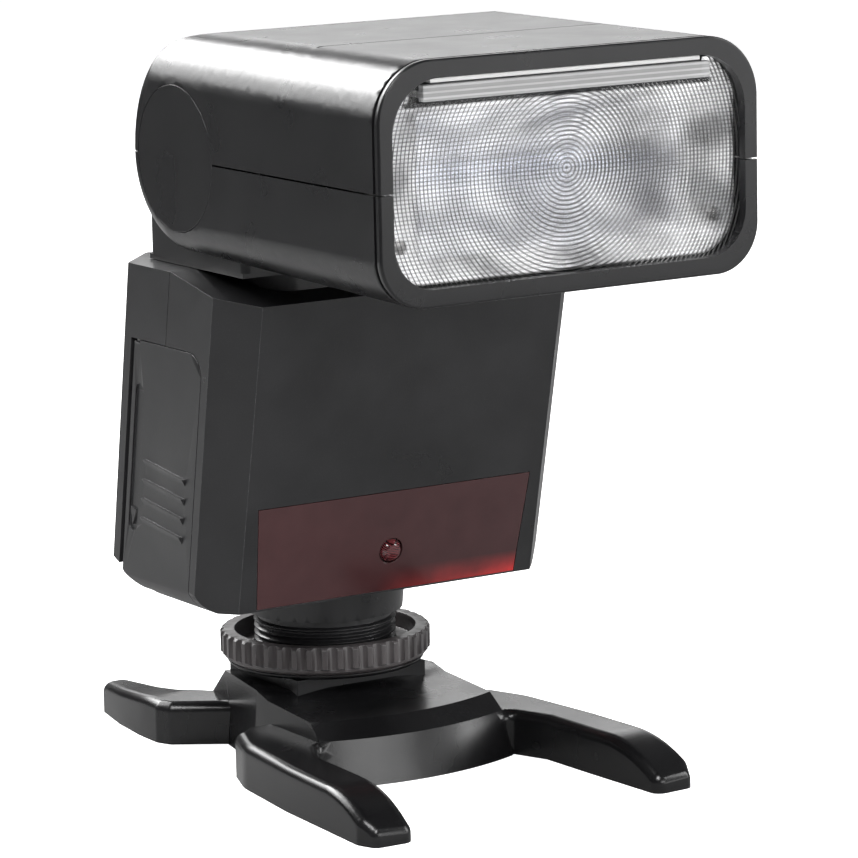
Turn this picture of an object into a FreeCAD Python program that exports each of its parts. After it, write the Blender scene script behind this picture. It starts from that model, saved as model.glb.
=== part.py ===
import FreeCAD, Part
import Sketcher
import math
import os

# Compact shoe-mount flash on its small four-legged stand.
# Millimetres, +Z up. Origin: on the floor, at the centre of the stand's tripod bush, under the axis
# of the shoe's lock ring. The lens faces -Y and the battery door is on the -X side.
# The flash body leans back: it is drawn upright in its own leaning frame, whose origin is at height
# lean_z. Sizes that end in _v (towards the back) and _w (upwards) are places in that frame.

Vec = FreeCAD.Vector
doc = FreeCAD.newDocument("shoe_flash")

# ---------------------------------------------------------------- driving dimensions
dims = doc.addObject("Spreadsheet::Sheet", "dims")
SIZES = [
    # head
    ("head_half", 31.0), ("head_front", -68.4), ("head_top", 109.6), ("head_low", 76.4),
    ("head_rear", 6.0), ("head_top_rear", 109.4), ("head_low_rear", 78.6),
    ("corner_top", 8.6), ("corner_low", 7.0), ("corner_top_rear", 7.6), ("corner_low_rear", 4.6),
    ("tilt_y", -13.6), ("tilt_z", 92.1), ("shell_gap_half", 0.13),
    ("ear_radius", 14.9), ("ear_top", 17.3), ("ear_low", 14.0), ("ear_round", 4.4),
    ("ear_inner", 27.3),
    ("open_half", 28.8), ("open_low", 78.9), ("open_top", 107.1),
    ("open_corner_top", 7.6), ("open_corner_low", 6.4),
    ("bay_half", 29.3), ("bay_low", 78.7), ("bay_top", 107.5), ("bay_rear", -31.0),
    ("ledge_y", -66.9), ("cap_radius", 10.48), ("cap_depth", 1.15),
    ("axle_radius", 3.0), ("axle_half", 29.6), ("axle_clear", 0.06),
    ("barrel_radius", 12.8), ("barrel_cavity", 13.2),
    # lens, panels
    ("lens_thick", 1.5), ("lens_top", 103.7),
    ("panel_half", 23.4), ("panel_y", -66.8), ("panel_z", 104.4), ("panel_thick", 1.0),
    ("panel_len", 33.6), ("panel_lip", 2.25),
    ("card_half", 22.0), ("card_y", -67.3), ("card_len", 34.0), ("card_z", 106.35),
    ("card_thick", 0.6), ("tray_half", 25.0), ("tray_z", 103.0), ("tray_thick", 0.6),
    # zoom carriage
    ("zoom_z", 92.0), ("reflector_half", 22.0), ("reflector_high", 9.8), ("reflector_deep", 14.0),
    ("reflector_vertex", -47.5), ("reflector_wall", 0.5),
    ("tube_radius", 1.7), ("tube_half", 21.4), ("tube_y", -49.8),
    ("carriage_half", 23.9), ("cheek_thick", 1.3), ("carriage_front", -52.2),
    ("carriage_len", 5.8), ("carriage_bush", 2.2), ("carriage_low", 83.0), ("carriage_top", 101.0),
    ("rod_x", 25.7), ("rod_y", -64.6), ("rod_z", 84.5), ("rod_radius", 1.0), ("rod_len", 33.6),
    ("screw_z", 97.0), ("screw_radius", 1.0), ("screw_len", 27.6),
    ("motor_radius", 3.2), ("motor_len", 4.8), ("board_thick", 1.4),
    # neck
    ("pan_y", -10.5), ("neck_half", 26.4), ("neck_front", -24.4), ("neck_back", 3.0),
    ("neck_low", 76.3), ("neck_high", 84.2), ("neck_plate_low", 75.5),
    ("spigot_radius", 8.0), ("spigot_bore", 5.0), ("spigot_low", 71.4),
    ("retainer_radius", 10.2), ("pan_clear", 0.06),
    # flash body
    ("lean", 11.3), ("lean_z", 50.0), ("taper", 0.8), ("wall", 1.8),
    ("front_half", 25.2), ("front_v", -22.28), ("side_half", 29.58), ("side_front", -17.0),
    ("side_back", 7.07), ("back_half", 23.02), ("back_v", 13.78),
    ("block_low", -30.0), ("block_high", 62.0),
    ("in_front_half", 24.36), ("in_front_v", -20.48), ("in_side_half", 27.78),
    ("in_side_front", -16.35), ("in_side_back", 6.34), ("in_back_half", 22.27),
    ("in_back_v", 11.98),
    ("body_low", 25.8), ("low_round_high", 4.8), ("low_round_wide", 2.6), ("body_top", 75.4),
    ("split_v", -4.8), ("split_gap", 0.12), ("pedestal_high", 5.5), ("pad_thick", 2.6),
    ("window_top", 41.7), ("window_half_top", 23.35), ("window_half_low", 22.2),
    ("lamp_z", 32.2), ("lamp_radius", 1.75),
    ("door_front", -15.2), ("door_hinge", 4.2), ("door_top", 64.2), ("door_gap", 0.18),
    ("door_round", 0.9), ("pin_radius", 0.4),
    ("display_w", 13.6), ("display_len", 34.0), ("display_high", 16.6),
    ("key_w", 0.6), ("key_pitch", 10.2), ("test_x", -13.5), ("test_w", -6.0),
    ("dial_x", 8.0), ("dial_w", -9.6), ("power_x", -11.0), ("power_w", -14.2),
    ("cell_radius", 7.25), ("cell_len", 49.2), ("cell_x", -25.4), ("cell_v", -4.7),
    ("cell_low_w", -13.6), ("cell_step", 14.6),
    ("capacitor_radius", 6.0), ("capacitor_len", 40.0), ("capacitor_w", 14.4),
    # foot, lock ring, collar
    ("ring_radius", 15.84), ("ring_low", 13.2), ("ring_top", 17.5), ("ring_bore", 10.95),
    ("ring_recess", 13.7), ("ring_shelf", 15.2), ("ring_flutes", 43), ("flute_radius", 0.78),
    ("collar_radius", 12.3), ("collar_low_radius", 11.8), ("collar_shoulder", 20.5),
    ("thread_crest", 10.7), ("thread_root", 10.1), ("thread_end", 14.3), ("collar_bore", 7.4),
    ("plate_radius", 14.8), ("plate_low", 12.45), ("plate_top", 13.15),
    ("foot_half", 9.3), ("foot_front", -9.2), ("foot_len", 18.2), ("foot_low", 8.95),
    ("foot_thick", 1.98), ("stem_half", 6.1), ("core_radius", 7.2),
    ("lock_pin_radius", 1.0), ("lock_pin_y", -6.8), ("lock_pin_low", 8.0),
    # stand
    ("hub_half", 16.6), ("hub_high", 10.7), ("hub_centre", 13.3),
    ("leg_high", 6.6), ("leg_round", 1.6),
    ("shoe_half", 11.2), ("shoe_low", 7.9), ("shoe_floor", 8.9), ("rail_low", 11.0),
    ("rail_top", 12.4), ("rail_gap", 6.3), ("shoe_inner_front", -9.35),
    ("bush_radius", 4.0), ("bush_bore", 2.55), ("bush_len", 6.0),
]
for row, (alias, value) in enumerate(SIZES, start=1):
    dims.set("A%d" % row, alias)
    dims.set("B%d" % row, str(value))
    dims.setAlias("B%d" % row, alias)
doc.recompute()


def dim(name):
    return float(dims.get(name))


# ---------------------------------------------------------------- document objects
NODES = {}
LEAN = FreeCAD.Placement(Vec(0, 0, dim("lean_z")), FreeCAD.Rotation(Vec(1, 0, 0), dim("lean")))
AXES = {
    "z": FreeCAD.Rotation(),
    "x": FreeCAD.Rotation(Vec(0, 1, 0), 90),
    "y": FreeCAD.Rotation(Vec(1, 0, 0), -90),
    "-z": FreeCAD.Rotation(Vec(1, 0, 0), 180),
}
X_AXIS = Vec(1, 0, 0)
Y_AXIS = Vec(0, 1, 0)


def value_of(formula):
    """Value of a number, or of a sum of numbers and of the sheet's names."""
    total = 0.0
    for term in str(formula).replace("-", "+-").split("+"):
        if term:
            size = term.lstrip("-")
            size = dim(size[5:]) if size.startswith("dims.") else float(size)
            total += -size if term.startswith("-") else size
    return total


def bind(obj, prop, formula):
    obj.setExpression(prop, str(formula))


def node(name, obj):
    """Registers an object as a piece to export."""
    obj.Label = name
    NODES[name] = obj


def bind_base(obj, x, y, z):
    for prop, formula in (("x", x), ("y", y), ("z", z)):
        bind(obj, "Placement.Base." + prop, formula)
    return obj


def box(label, x0, x1, y0, y1, z0, z1):
    obj = doc.addObject("Part::Box", "tool_" + label)
    for prop, low, high in (("Length", x0, x1), ("Width", y0, y1), ("Height", z0, z1)):
        bind(obj, prop, "(%s)-(%s)" % (high, low))
    return bind_base(obj, x0, y0, z0)


def round_tool(kind, label, radii, length, x, y, z, axis):
    obj = doc.addObject(kind, "tool_" + label)
    for prop, formula in radii.items():
        bind(obj, prop, formula)
    bind(obj, "Height", length)
    obj.Placement = FreeCAD.Placement(Vec(0, 0, 0), AXES[axis])
    return bind_base(obj, x, y, z)


def cyl(label, radius, length, x, y, z, axis="z"):
    return round_tool("Part::Cylinder", label, {"Radius": radius}, length, x, y, z, axis)


def cone(label, radius_1, radius_2, length, x, y, z, axis):
    radii = {"Radius1": radius_1, "Radius2": radius_2}
    return round_tool("Part::Cone", label, radii, length, x, y, z, axis)


def fuse(label, *tools):
    obj = doc.addObject("Part::MultiFuse", "join_" + label)
    obj.Shapes = list(tools)
    obj.Refine = True
    return obj


def cut(label, base, *tools):
    obj = doc.addObject("Part::Cut", "cut_" + label)
    obj.Base = base
    obj.Tool = tools[0] if len(tools) == 1 else fuse(label + "_tools", *tools)
    return obj


def common(label, base, tool):
    obj = doc.addObject("Part::Common", "common_" + label)
    obj.Base = base
    obj.Tool = tool
    return obj


def group(label, *items):
    obj = doc.addObject("Part::Compound", "group_" + label)
    obj.Links = list(items)
    return obj


def feature(label, shape):
    """Object whose shape is built in code, with its sizes read from the sheet."""
    obj = doc.addObject("Part::Feature", "form_" + label)
    obj.Shape = shape
    return obj


def piece(name, *shapes):
    """Exported piece built in code; several shapes make a compound."""
    node(name, feature(name, shapes[0] if len(shapes) == 1 else Part.makeCompound(list(shapes))))


def shape_of(obj):
    doc.recompute()
    return obj.Shape


def origin_plane(body, role):
    return [f for f in body.Origin.OriginFeatures if f.Role == role][0]


def attached_sketch(body, name, role, offset):
    result = body.newObject("Sketcher::SketchObject", name)
    result.AttachmentSupport = [(origin_plane(body, role), "")]
    result.MapMode = "FlatFace"
    bind(result, "AttachmentOffset.Base.z", offset)
    return result


def polygon_sketch(body, name, role, points, offset=0.0):
    """Closed polygon; both coordinates of every corner are constrained, by the sheet if named."""
    result = attached_sketch(body, name, role, offset)
    places = [(value_of(x), value_of(y)) for x, y in points]
    count = len(places)
    for i in range(count):
        start, end = places[i], places[(i + 1) % count]
        result.addGeometry(Part.LineSegment(Vec(*start, 0), Vec(*end, 0)), False)
    for i in range(count):
        result.addConstraint(Sketcher.Constraint("Coincident", i, 2, (i + 1) % count, 1))
    for i in range(count):
        for kind, axis, place, formula in (("DistanceX", -2, places[i][0], points[i][0]),
                                           ("DistanceY", -1, places[i][1], points[i][1])):
            if abs(place) < 1e-9:
                result.addConstraint(Sketcher.Constraint("PointOnObject", i, 1, axis))
                continue
            index = result.addConstraint(Sketcher.Constraint(kind, -1, 1, i, 1, place))
            if isinstance(formula, str):
                result.setExpression("Constraints[%d]" % index, formula)
    return result


def turn(name, points, y=0.0):
    """Solid of revolution about a vertical axis at y, from a half profile (radius, height)."""
    body = doc.addObject("PartDesign::Body", "body_" + name)
    profile = polygon_sketch(body, "sketch_" + name, "XZ_Plane", points)
    revolution = body.newObject("PartDesign::Revolution", "turn_" + name)
    revolution.Profile = profile
    revolution.ReferenceAxis = (profile, ["V_Axis"])
    revolution.Angle = 360
    body.Placement = FreeCAD.Placement(Vec(0, y, 0), FreeCAD.Rotation())
    return body


# ---------------------------------------------------------------- shapes built in code
def polygon_prism(points, direction):
    corners = [Vec(*p) for p in points]
    return Part.Face(Part.makePolygon(corners + corners[:1])).extrude(direction)


def wire_prism(edges, direction):
    return Part.Face(Part.Wire(edges)).extrude(direction)


def chain(*points):
    return [Part.makeLine(a, b) for a, b in zip(points, points[1:])]


def arc(start, middle, end):
    return Part.Arc(start, middle, end).toShape()


def section(y, half, low, top, low_radius, top_radius):
    """Wire of a rounded rectangle across the head, standing at y."""
    corners = [
        (half - low_radius, low + low_radius, low_radius),
        (half - top_radius, top - top_radius, top_radius),
        (-half + top_radius, top - top_radius, top_radius),
        (-half + low_radius, low + low_radius, low_radius),
    ]
    ways = [(0, -1), (1, 0), (0, 1), (-1, 0), (0, -1)]
    diagonal = math.sqrt(0.5)
    arcs = []
    for i, (x, z, radius) in enumerate(corners):
        (x_0, z_0), (x_1, z_1) = ways[i], ways[i + 1]
        reach = radius * diagonal
        arcs.append((Vec(x + radius * x_0, y, z + radius * z_0),
                     Vec(x + reach * (x_0 + x_1), y, z + reach * (z_0 + z_1)),
                     Vec(x + radius * x_1, y, z + radius * z_1)))
    edges = []
    for i in range(4):
        edges += [Part.makeLine(arcs[i - 1][2], arcs[i][0]), arc(*arcs[i])]
    return Part.Wire(edges)


def bar(y0, y1, *outline):
    """Straight prism along Y with a rounded rectangular section."""
    return Part.Face(section(y0, *outline)).extrude(Vec(0, y1 - y0, 0))


def mirror_x(shape):
    return shape.mirror(Vec(0, 0, 0), X_AXIS)


def rod_x(radius, length, x, y, z):
    return Part.makeCylinder(radius, length, Vec(x, y, z), X_AXIS)


def rod_z(radius, length, x, y, z):
    return Part.makeCylinder(radius, length, Vec(x, y, z))


def solid_box(x0, x1, y0, y1, z0, z1, radius=0.0, along="Y"):
    """Box between two corners; its four edges along X or Y can be rounded."""
    block = Part.makeBox(x1 - x0, y1 - y0, z1 - z0, Vec(x0, y0, z0))
    if radius > 0:
        length = {"X": x1 - x0, "Y": y1 - y0}[along] - 1e-6
        edges = [e for e in block.Edges if getattr(e.BoundBox, along + "Length") > length]
        block = block.makeFillet(radius, edges)
    return block


def leaned(shape):
    """Takes a shape drawn in the leaning frame to its place."""
    shape.Placement = LEAN
    return shape


def lean_box(*bounds):
    return leaned(solid_box(*bounds))


def cross_slot(shape, x, y, z, length, width, depth):
    """Cuts a screwdriver cross, centred at (x, y), from z upwards."""
    for size_x, size_y in ((length, width), (width, length)):
        corner = Vec(x - size_x / 2, y - size_y / 2, z)
        shape = shape.cut(Part.makeBox(size_x, size_y, depth, corner))
    return shape


# ================================================================ stand
SHOE_SCREWS = {"a": (-7.0, -6.5), "b": (7.0, -6.5), "c": (-7.0, 6.0), "d": (7.0, 6.0)}
HUB_FRONT = -32

# Leg outlines in plan: x, y, corner radius (0 keeps the corner sharp).
FRONT_LEG = [
    (-13, -8.8, 0), (-19.4, -9.0, 1.6), (-22.7, -11.3, 2.0), (-25.2, -18.0, 12.0),
    (-26.9, -33.0, 0), (-28.0, -54.0, 2.0), (-26.8, -56.9, 1.2), (-20.6, -57.2, 1.6),
    (-19.7, -42.0, 0), (-19.2, -31.0, 0), (-16.8, -24.9, 1.5), (-13, -24.9, 0),
]
REAR_LEG = [
    (-9, 3.6, 0), (-13.4, 5.2, 0), (-21.4, 10.6, 1.2), (-22.4, 13.0, 1.6), (-22.3, 18.6, 0),
    (-21.4, 26.5, 0), (-19.6, 35.0, 1.2), (-18.4, 36.0, 0), (-14.8, 35.8, 1.4),
    (-15.1, 23.4, 0), (-14.4, 18.4, 3.0), (-11.0, 14.4, 2.0), (-9, 13.6, 0),
]


def hub():
    """Turned about an axis behind the shoe, so its front edges are arcs, then cut to its width."""
    high, half = dim("hub_high"), dim("hub_half")
    turned = shape_of(turn("hub", [
        (0, 0), (42.5, 0), (40.7, 6.7), (37.9, 9.0), (27.3, 9.8), (24.4, "dims.hub_high"),
        (0, "dims.hub_high")], dim("hub_centre")))
    side = polygon_prism([(0, 14.6, 0), (0, 14.0, 6.2), (0, 8.6, high + 0.01),
                          (0, HUB_FRONT, high + 0.01), (0, HUB_FRONT, 0)], Vec(half, 0, 0))
    side = side.fuse(mirror_x(side)).removeSplitter()
    outline = [(-half, HUB_FRONT), (half, HUB_FRONT), (half, -6), (half - 4.4, 15),
               (-half + 4.4, 15), (-half, -6), (-half, HUB_FRONT)]
    ends = Part.makeLoft([Part.makePolygon([Vec(x * scale, y, z) for x, y in outline])
                          for z, scale in ((0, 1.0), (high + 0.5, 0.93))], True, True)
    return turned.common(side).common(ends)


def corner_radius(edge, outline):
    """Radius listed for an upright edge of a leg, or 0."""
    if len(edge.Vertexes) == 2:
        start, end = (v.Point for v in edge.Vertexes)
        if abs(start.x - end.x) < 1e-6 and abs(start.y - end.y) < 1e-6:
            for x, y, radius in outline:
                if abs(start.x - x) < 0.01 and abs(start.y - y) < 0.01:
                    return radius
    return 0


def is_top_edge(solid, edge):
    """Edge between the top and a side wall of a leg, away from the root in the hub."""
    bounds = edge.BoundBox
    if bounds.ZMin <= 1.0 or (bounds.XLength < 1e-3 and bounds.YLength < 1e-3):
        return False
    middle = edge.CenterOfMass
    if -13.01 < middle.x < -12.98 or abs(middle.x + 9) < 0.02:
        return False
    slopes = [abs(f.normalAt(*f.Surface.parameter(middle)).z)
              for f in solid.ancestorsOfType(edge, Part.Face)]
    return len(slopes) == 2 and min(slopes) < 0.15 and max(slopes) > 0.6


def leg(outline, profile):
    solid = polygon_prism([(x, y, 0) for x, y, _ in outline], Vec(0, 0, dim("leg_high")))
    # The radii are taken in the order in which the solid's edges first call for them.
    radii = dict.fromkeys(corner_radius(e, outline) for e in solid.Edges)
    for radius in radii:
        if radius:
            edges = [e for e in solid.Edges if corner_radius(e, outline) == radius]
            solid = solid.makeFillet(radius, edges)
    solid = solid.common(profile)
    top = [e for e in solid.Edges if is_top_edge(solid, e)]
    # The kernel may fail on a wide rounding: the first radius that gives a valid solid is used.
    for radius in (dim("leg_round"), 0.9, 0.6, 0.4):
        try:
            done = solid.makeFillet(radius, top)
            if done.isValid() and done.Volume > 0:
                return done
        except Exception:
            pass
    return solid


def legs():
    """Left legs, cut to their side outlines (y, z), and their mirror images."""
    high = dim("leg_high")
    toe_curve = arc(Vec(-40, -44.0, high), Vec(-40, -52.0, 5.0), Vec(-40, -57.6, 1.7))
    front_side = [(-57.6, 1.7), (-57.6, 0), (0, 0), (0, high), (-44.0, high)]
    rear_side = [(0, 0), (0, 6.45), (16.2, 6.45), (36.5, 4.6), (36.5, 0)]
    across = Vec(80, 0, 0)
    front_profile = wire_prism([toe_curve] + chain(*[Vec(-40, y, z) for y, z in front_side]), across)
    rear_profile = polygon_prism([(-40, y, z) for y, z in rear_side], across)
    front = leg(FRONT_LEG, front_profile)
    rear = leg(REAR_LEG, rear_profile)
    return [front, rear, mirror_x(front), mirror_x(rear)]


stand_form = feature("stand_form", hub().fuse(legs()).removeSplitter())
node("stand_base", cut(
    "stand_base", stand_form,
    box("shoe_pocket", "-dims.shoe_half-0.03", "dims.shoe_half+0.03", -10.4, 30,
        "dims.shoe_low", 30),
    box("pin_channel", -1.6, 1.6, -9.2, 30, 7.0, "dims.shoe_low+0.5"),
    cyl("bush_seat", "dims.bush_radius", "dims.bush_len", 0, 0, 0),
    *[cyl("shoe_hole_" + key, 0.8, 6, x, y, 3.0) for key, (x, y) in SHOE_SCREWS.items()]))

# Cold shoe: a steel channel with two rails, screwed into the hub through countersunk holes.
node("cold_shoe", cut(
    "cold_shoe",
    box("shoe_block", "-dims.shoe_half", "dims.shoe_half", -10.35, 9.6,
        "dims.shoe_low", "dims.rail_top"),
    box("shoe_slot", "-dims.foot_half-0.06", "dims.foot_half+0.06", "dims.shoe_inner_front", 20,
        "dims.shoe_floor", "dims.rail_low"),
    box("shoe_throat", "-dims.rail_gap", "dims.rail_gap", "dims.shoe_inner_front", 20,
        "dims.rail_low-0.1", 30),
    box("shoe_relief", -1.6, 1.6, -9.2, 20, "dims.shoe_low-1", "dims.shoe_floor+0.2"),
    *[cone("csk_" + key, 1.7, 0.9, 0.8, x, y, "dims.shoe_floor", "-z")
      for key, (x, y) in SHOE_SCREWS.items()],
    *[cyl("csh_" + key, 0.9, 1.4, x, y, 7.7) for key, (x, y) in SHOE_SCREWS.items()]))


def shoe_screw(x, y):
    head = Part.makeCone(0.78, 1.58, 0.8, Vec(x, y, 8.06), Vec(0, 0, 1))
    screw = head.fuse(rod_z(0.78, 4.9, x, y, 3.2)).removeSplitter()
    return cross_slot(screw, x, y, 8.5, length=1.9, width=0.4, depth=0.5)


piece("shoe_screws", *[shoe_screw(x, y) for x, y in SHOE_SCREWS.values()])
node("tripod_bush", turn("tripod_bush", [
    ("dims.bush_bore", 0), ("dims.bush_radius", 0), ("dims.bush_radius", "dims.bush_len"),
    ("dims.bush_bore", "dims.bush_len")]))

# ================================================================ foot, clamp plate, lock ring
# Contacts in the foot: x, y, radius.
CONTACTS = [(0, 0, 1.5), (-5.6, 3.2, 0.9), (5.6, 3.2, 0.9), (-5.6, -4.0, 0.9), (5.6, -4.0, 0.9)]


def contact_rods(label, length, z):
    return [cyl("%s_%d" % (label, i), radius, length, x, y, z)
            for i, (x, y, radius) in enumerate(CONTACTS, start=1)]


foot_top = "dims.foot_low+dims.foot_thick"
foot_block = fuse(
    "foot_block",
    box("foot_plate", "-dims.foot_half", "dims.foot_half", "dims.foot_front",
        "dims.foot_front+dims.foot_len", "dims.foot_low", foot_top),
    box("foot_stem", "-dims.stem_half", "dims.stem_half", -4.4, 8, foot_top + "-0.5",
        "dims.thread_end"),
    cyl("foot_core", "dims.core_radius", "25-dims.thread_end", 0, 0, "dims.thread_end"))
node("hot_shoe_foot", cut(
    "hot_shoe_foot", foot_block,
    cyl("pin_hole", "dims.lock_pin_radius+0.06", 8, 0, "dims.lock_pin_y", 6),
    *contact_rods("contact_hole", 1.5, 8.5)))
node("foot_contacts", group("foot_contacts", *contact_rods("contact", 0.98, 9.02)))

clamp_disc = turn("clamp_disc", [
    (0, "dims.plate_low"), ("dims.plate_radius-0.5", "dims.plate_low"),
    ("dims.plate_radius", "dims.plate_low+0.4"), ("dims.plate_radius", "dims.plate_top"),
    (0, "dims.plate_top")])
node("clamp_plate", cut(
    "clamp_plate", clamp_disc,
    box("clamp_slot", "-dims.stem_half-0.08", "dims.stem_half+0.08", -4.48, 8.08, 10, 16),
    cyl("clamp_pin_hole", "dims.lock_pin_radius", 4, 0, "dims.lock_pin_y", 11)))
node("lock_pin", turn("lock_pin", [
    (0, "dims.lock_pin_low"), ("dims.lock_pin_radius-0.35", "dims.lock_pin_low"),
    ("dims.lock_pin_radius", "dims.lock_pin_low+0.4"), ("dims.lock_pin_radius", "dims.plate_top"),
    (0, "dims.plate_top")], dim("lock_pin_y")))


def lock_ring():
    """Turned ring with a polar pattern of flutes round its rim."""
    ring = turn("lock_ring", [
        ("dims.ring_bore", "dims.ring_low"), ("dims.ring_radius-1.1", "dims.ring_low"),
        ("dims.ring_radius-0.5", "dims.ring_low+0.5"),
        ("dims.ring_radius-0.5", "dims.ring_low+0.9"),
        ("dims.ring_radius", "dims.ring_low+1.1"), ("dims.ring_radius", "dims.ring_top-0.35"),
        ("dims.ring_radius-0.35", "dims.ring_top"), ("dims.ring_recess", "dims.ring_top"),
        ("dims.ring_recess-0.4", "dims.ring_shelf"), ("dims.ring_bore", "dims.ring_shelf")])
    doc.recompute()
    flute = attached_sketch(ring, "sketch_flute", "XY_Plane", "dims.ring_low+0.9")
    centre_x, radius = dim("ring_radius") + 0.18, dim("flute_radius")
    flute.addGeometry(Part.Circle(Vec(centre_x, 0, 0), Vec(0, 0, 1), radius), False)
    flute.addConstraint(Sketcher.Constraint("PointOnObject", 0, 3, -1))
    flute.addConstraint(Sketcher.Constraint("DistanceX", -1, 1, 0, 3, centre_x))
    flute.setExpression("Constraints[1]", "dims.ring_radius+0.18")
    flute.addConstraint(Sketcher.Constraint("Radius", 0, radius))
    flute.setExpression("Constraints[2]", "dims.flute_radius")
    pocket = ring.newObject("PartDesign::Pocket", "pocket_flute")
    pocket.Profile = flute
    bind(pocket, "Length", 5)
    pocket.Reversed = True
    doc.recompute()
    pattern = ring.newObject("PartDesign::PolarPattern", "pattern_flutes")
    pattern.Originals = [pocket]
    pattern.Axis = (doc.getObject("sketch_lock_ring"), ["V_Axis"])
    pattern.Angle = 360
    bind(pattern, "Occurrences", "dims.ring_flutes")
    ring.Tip = pattern
    doc.recompute()
    return ring


node("lock_ring", lock_ring())

# ================================================================ flash body: case
DRAFT = math.tan(math.radians(dim("taper")))
BODY_LOW = dim("body_low")


def eight_sided_block(name, prefix):
    """Eight-sided block that widens upwards by its draft and leans back."""
    size = "dims." + prefix
    right = [(size + "front_half", size + "front_v"), (size + "side_half", size + "side_front"),
             (size + "side_half", size + "side_back"), (size + "back_half", size + "back_v")]
    points = right + [("-" + x, y) for x, y in reversed(right)]
    body = doc.addObject("PartDesign::Body", "body_" + name)
    outline = polygon_sketch(body, "sketch_" + name, "XY_Plane", points, "dims.block_low")
    pad = body.newObject("PartDesign::Pad", "pad_" + name)
    pad.Profile = outline
    bind(pad, "Length", "dims.block_high")
    bind(pad, "TaperAngle", "dims.taper")
    body.Placement = LEAN
    return body


def side_view(low, top, inset):
    """Side outline across the body: level bottom, curved lower rear, level top, sloped front top."""
    slope = math.tan(math.radians(dim("lean")))
    start = Vec(-50, 1.5, low)
    end = Vec(-50, 9.3 - inset * 0.5, low + 3.6)
    curve = arc(start, Vec(-50, 5.7 - inset * 0.3, low + 1.05), end)
    lines = chain(end, Vec(-50, 17.6, low + 7.2), Vec(-50, 30, low + 12.5), Vec(-50, 30, top),
                  Vec(-50, -10.4, top), Vec(-50, -45, top - 34.6 * slope), Vec(-50, -45, low),
                  start)
    return wire_prism([curve] + lines, Vec(100, 0, 0))


def end_view(inset):
    """Front outline through the body: it turns in with a curve at both lower side edges."""
    half, low = 29.9 - inset, BODY_LOW + inset
    high, wide = dim("low_round_high") - inset, dim("low_round_wide") - 0.4 * inset
    y = -60

    def lower_curve(side):
        return [Vec(side * (half - wide), y, low),
                Vec(side * (half - 0.29 * wide), y, low + 0.31 * high),
                Vec(side * half, y, low + high)]

    right, left = lower_curve(1), lower_curve(-1)
    shoulder = low + high + 18
    edges = [arc(*right)]
    edges += chain(right[2], Vec(40, y, shoulder), Vec(40, y, 90), Vec(-40, y, 90),
                   Vec(-40, y, shoulder), left[2])
    edges += [arc(*reversed(left)), Part.makeLine(left[0], right[0])]
    return wire_prism(edges, Vec(0, 120, 0))


outer_block = eight_sided_block("outer_block", "")
inner_block = eight_sided_block("inner_block", "in_")
doc.recompute()
case_block = common("case_block", outer_block,
                    feature("case_trim", side_view(BODY_LOW, dim("body_top"), 0)))
case_solid = shape_of(case_block).common(end_view(0.0)).removeSplitter()
cavity_trim = side_view(BODY_LOW + dim("wall"), dim("body_top") - dim("wall") - 0.1, 1.5).common(
    end_view(dim("wall")))
cavity = common("case_cavity", inner_block, feature("cavity_trim", cavity_trim))
hollow_case = case_solid.cut(shape_of(cavity))


def case_with_pedestal():
    """Adds the level pedestal under the neck and the thick pad that carries the pan bearing."""
    pedestal = shape_of(box("pedestal", -21.5, 21.5, -22.9, -9.0,
                            "dims.body_top-dims.pedestal_high", "dims.body_top"))
    pad = shape_of(cyl("bearing_pad", 14.0, "dims.pad_thick", 0, "dims.pan_y",
                       "dims.body_top-dims.pad_thick"))
    front_uprights = [
        e for e in pedestal.Edges
        if abs(e.BoundBox.ZLength - dim("pedestal_high")) < 0.01 and e.BoundBox.YMin < -20]
    pedestal = pedestal.makeFillet(5.0, front_uprights)
    case = hollow_case.fuse([pedestal, pad.common(pedestal.fuse(case_solid))])
    case = case.cut(rod_z(dim("spigot_radius") + dim("pan_clear"), 12, 0, dim("pan_y"), 70))
    case = case.cut(rod_z(10.9, 12, 0, dim("pan_y"), 61.4))
    # opening in the floor for the foot's core
    case = case.cut(rod_z(dim("core_radius") + 0.05, 20, 0, 0, 20))
    return case.removeSplitter()


shell = case_with_pedestal()


def lean_height(y, z):
    """Height in the leaning frame of the place (y, z)."""
    angle = math.radians(dim("lean"))
    return -y * math.sin(angle) + (z - dim("lean_z")) * math.cos(angle)


# ================================================================ battery door
HINGE = dim("door_hinge")
# x of the side's outer face at height 0 of the leaning frame
SIDE_X = -(dim("side_half") - dim("block_low") * DRAFT)
DOOR_ROUND = dim("door_round")


def door_height(y):
    """Level top edge of the door as a height in the leaning frame."""
    angle = math.radians(dim("lean"))
    return (dim("door_top") - dim("lean_z") - y * math.sin(angle)) / math.cos(angle)


# The hinge line runs down parallel to the side's outer face, inside the wall.
hinge_slope = Vec(DRAFT, 0, -1)
hinge_slope.normalize()
DOOR_AXIS = LEAN.Rotation.multVec(hinge_slope)
HINGE_POINT = LEAN.multVec(Vec(SIDE_X + DOOR_ROUND, HINGE, 0))


def hinge_rod(radius, length, up):
    """Cylinder down the hinge line that starts at a height above the hinge point."""
    return Part.makeCylinder(radius, length, HINGE_POINT + DOOR_AXIS * -up, DOOR_AXIS)


def door_prism(grow, x1):
    """Door outline seen from the side, grown by a gap and extruded through the side wall."""
    front = dim("door_front") - grow
    back = HINGE + (DOOR_ROUND + grow if grow > 0 else 0.0)
    outline = [(back, -34), (back, door_height(back) + grow), (front, door_height(front) + grow),
               (front, -18.6), (front - 3.4, -25.0 + grow), (front - 3.4, -34)]
    x0 = -34
    solid = polygon_prism([(x0, y, z) for y, z in outline], Vec(x1 - x0, 0, 0))
    upper_front = [e for e in solid.Edges
                   if abs(e.BoundBox.XLength - (x1 - x0)) < 1e-3
                   and abs(e.CenterOfMass.y - front) < 0.01 and e.CenterOfMass.z > 10]
    return leaned(solid.makeFillet(3.0 + grow, upper_front))


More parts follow.
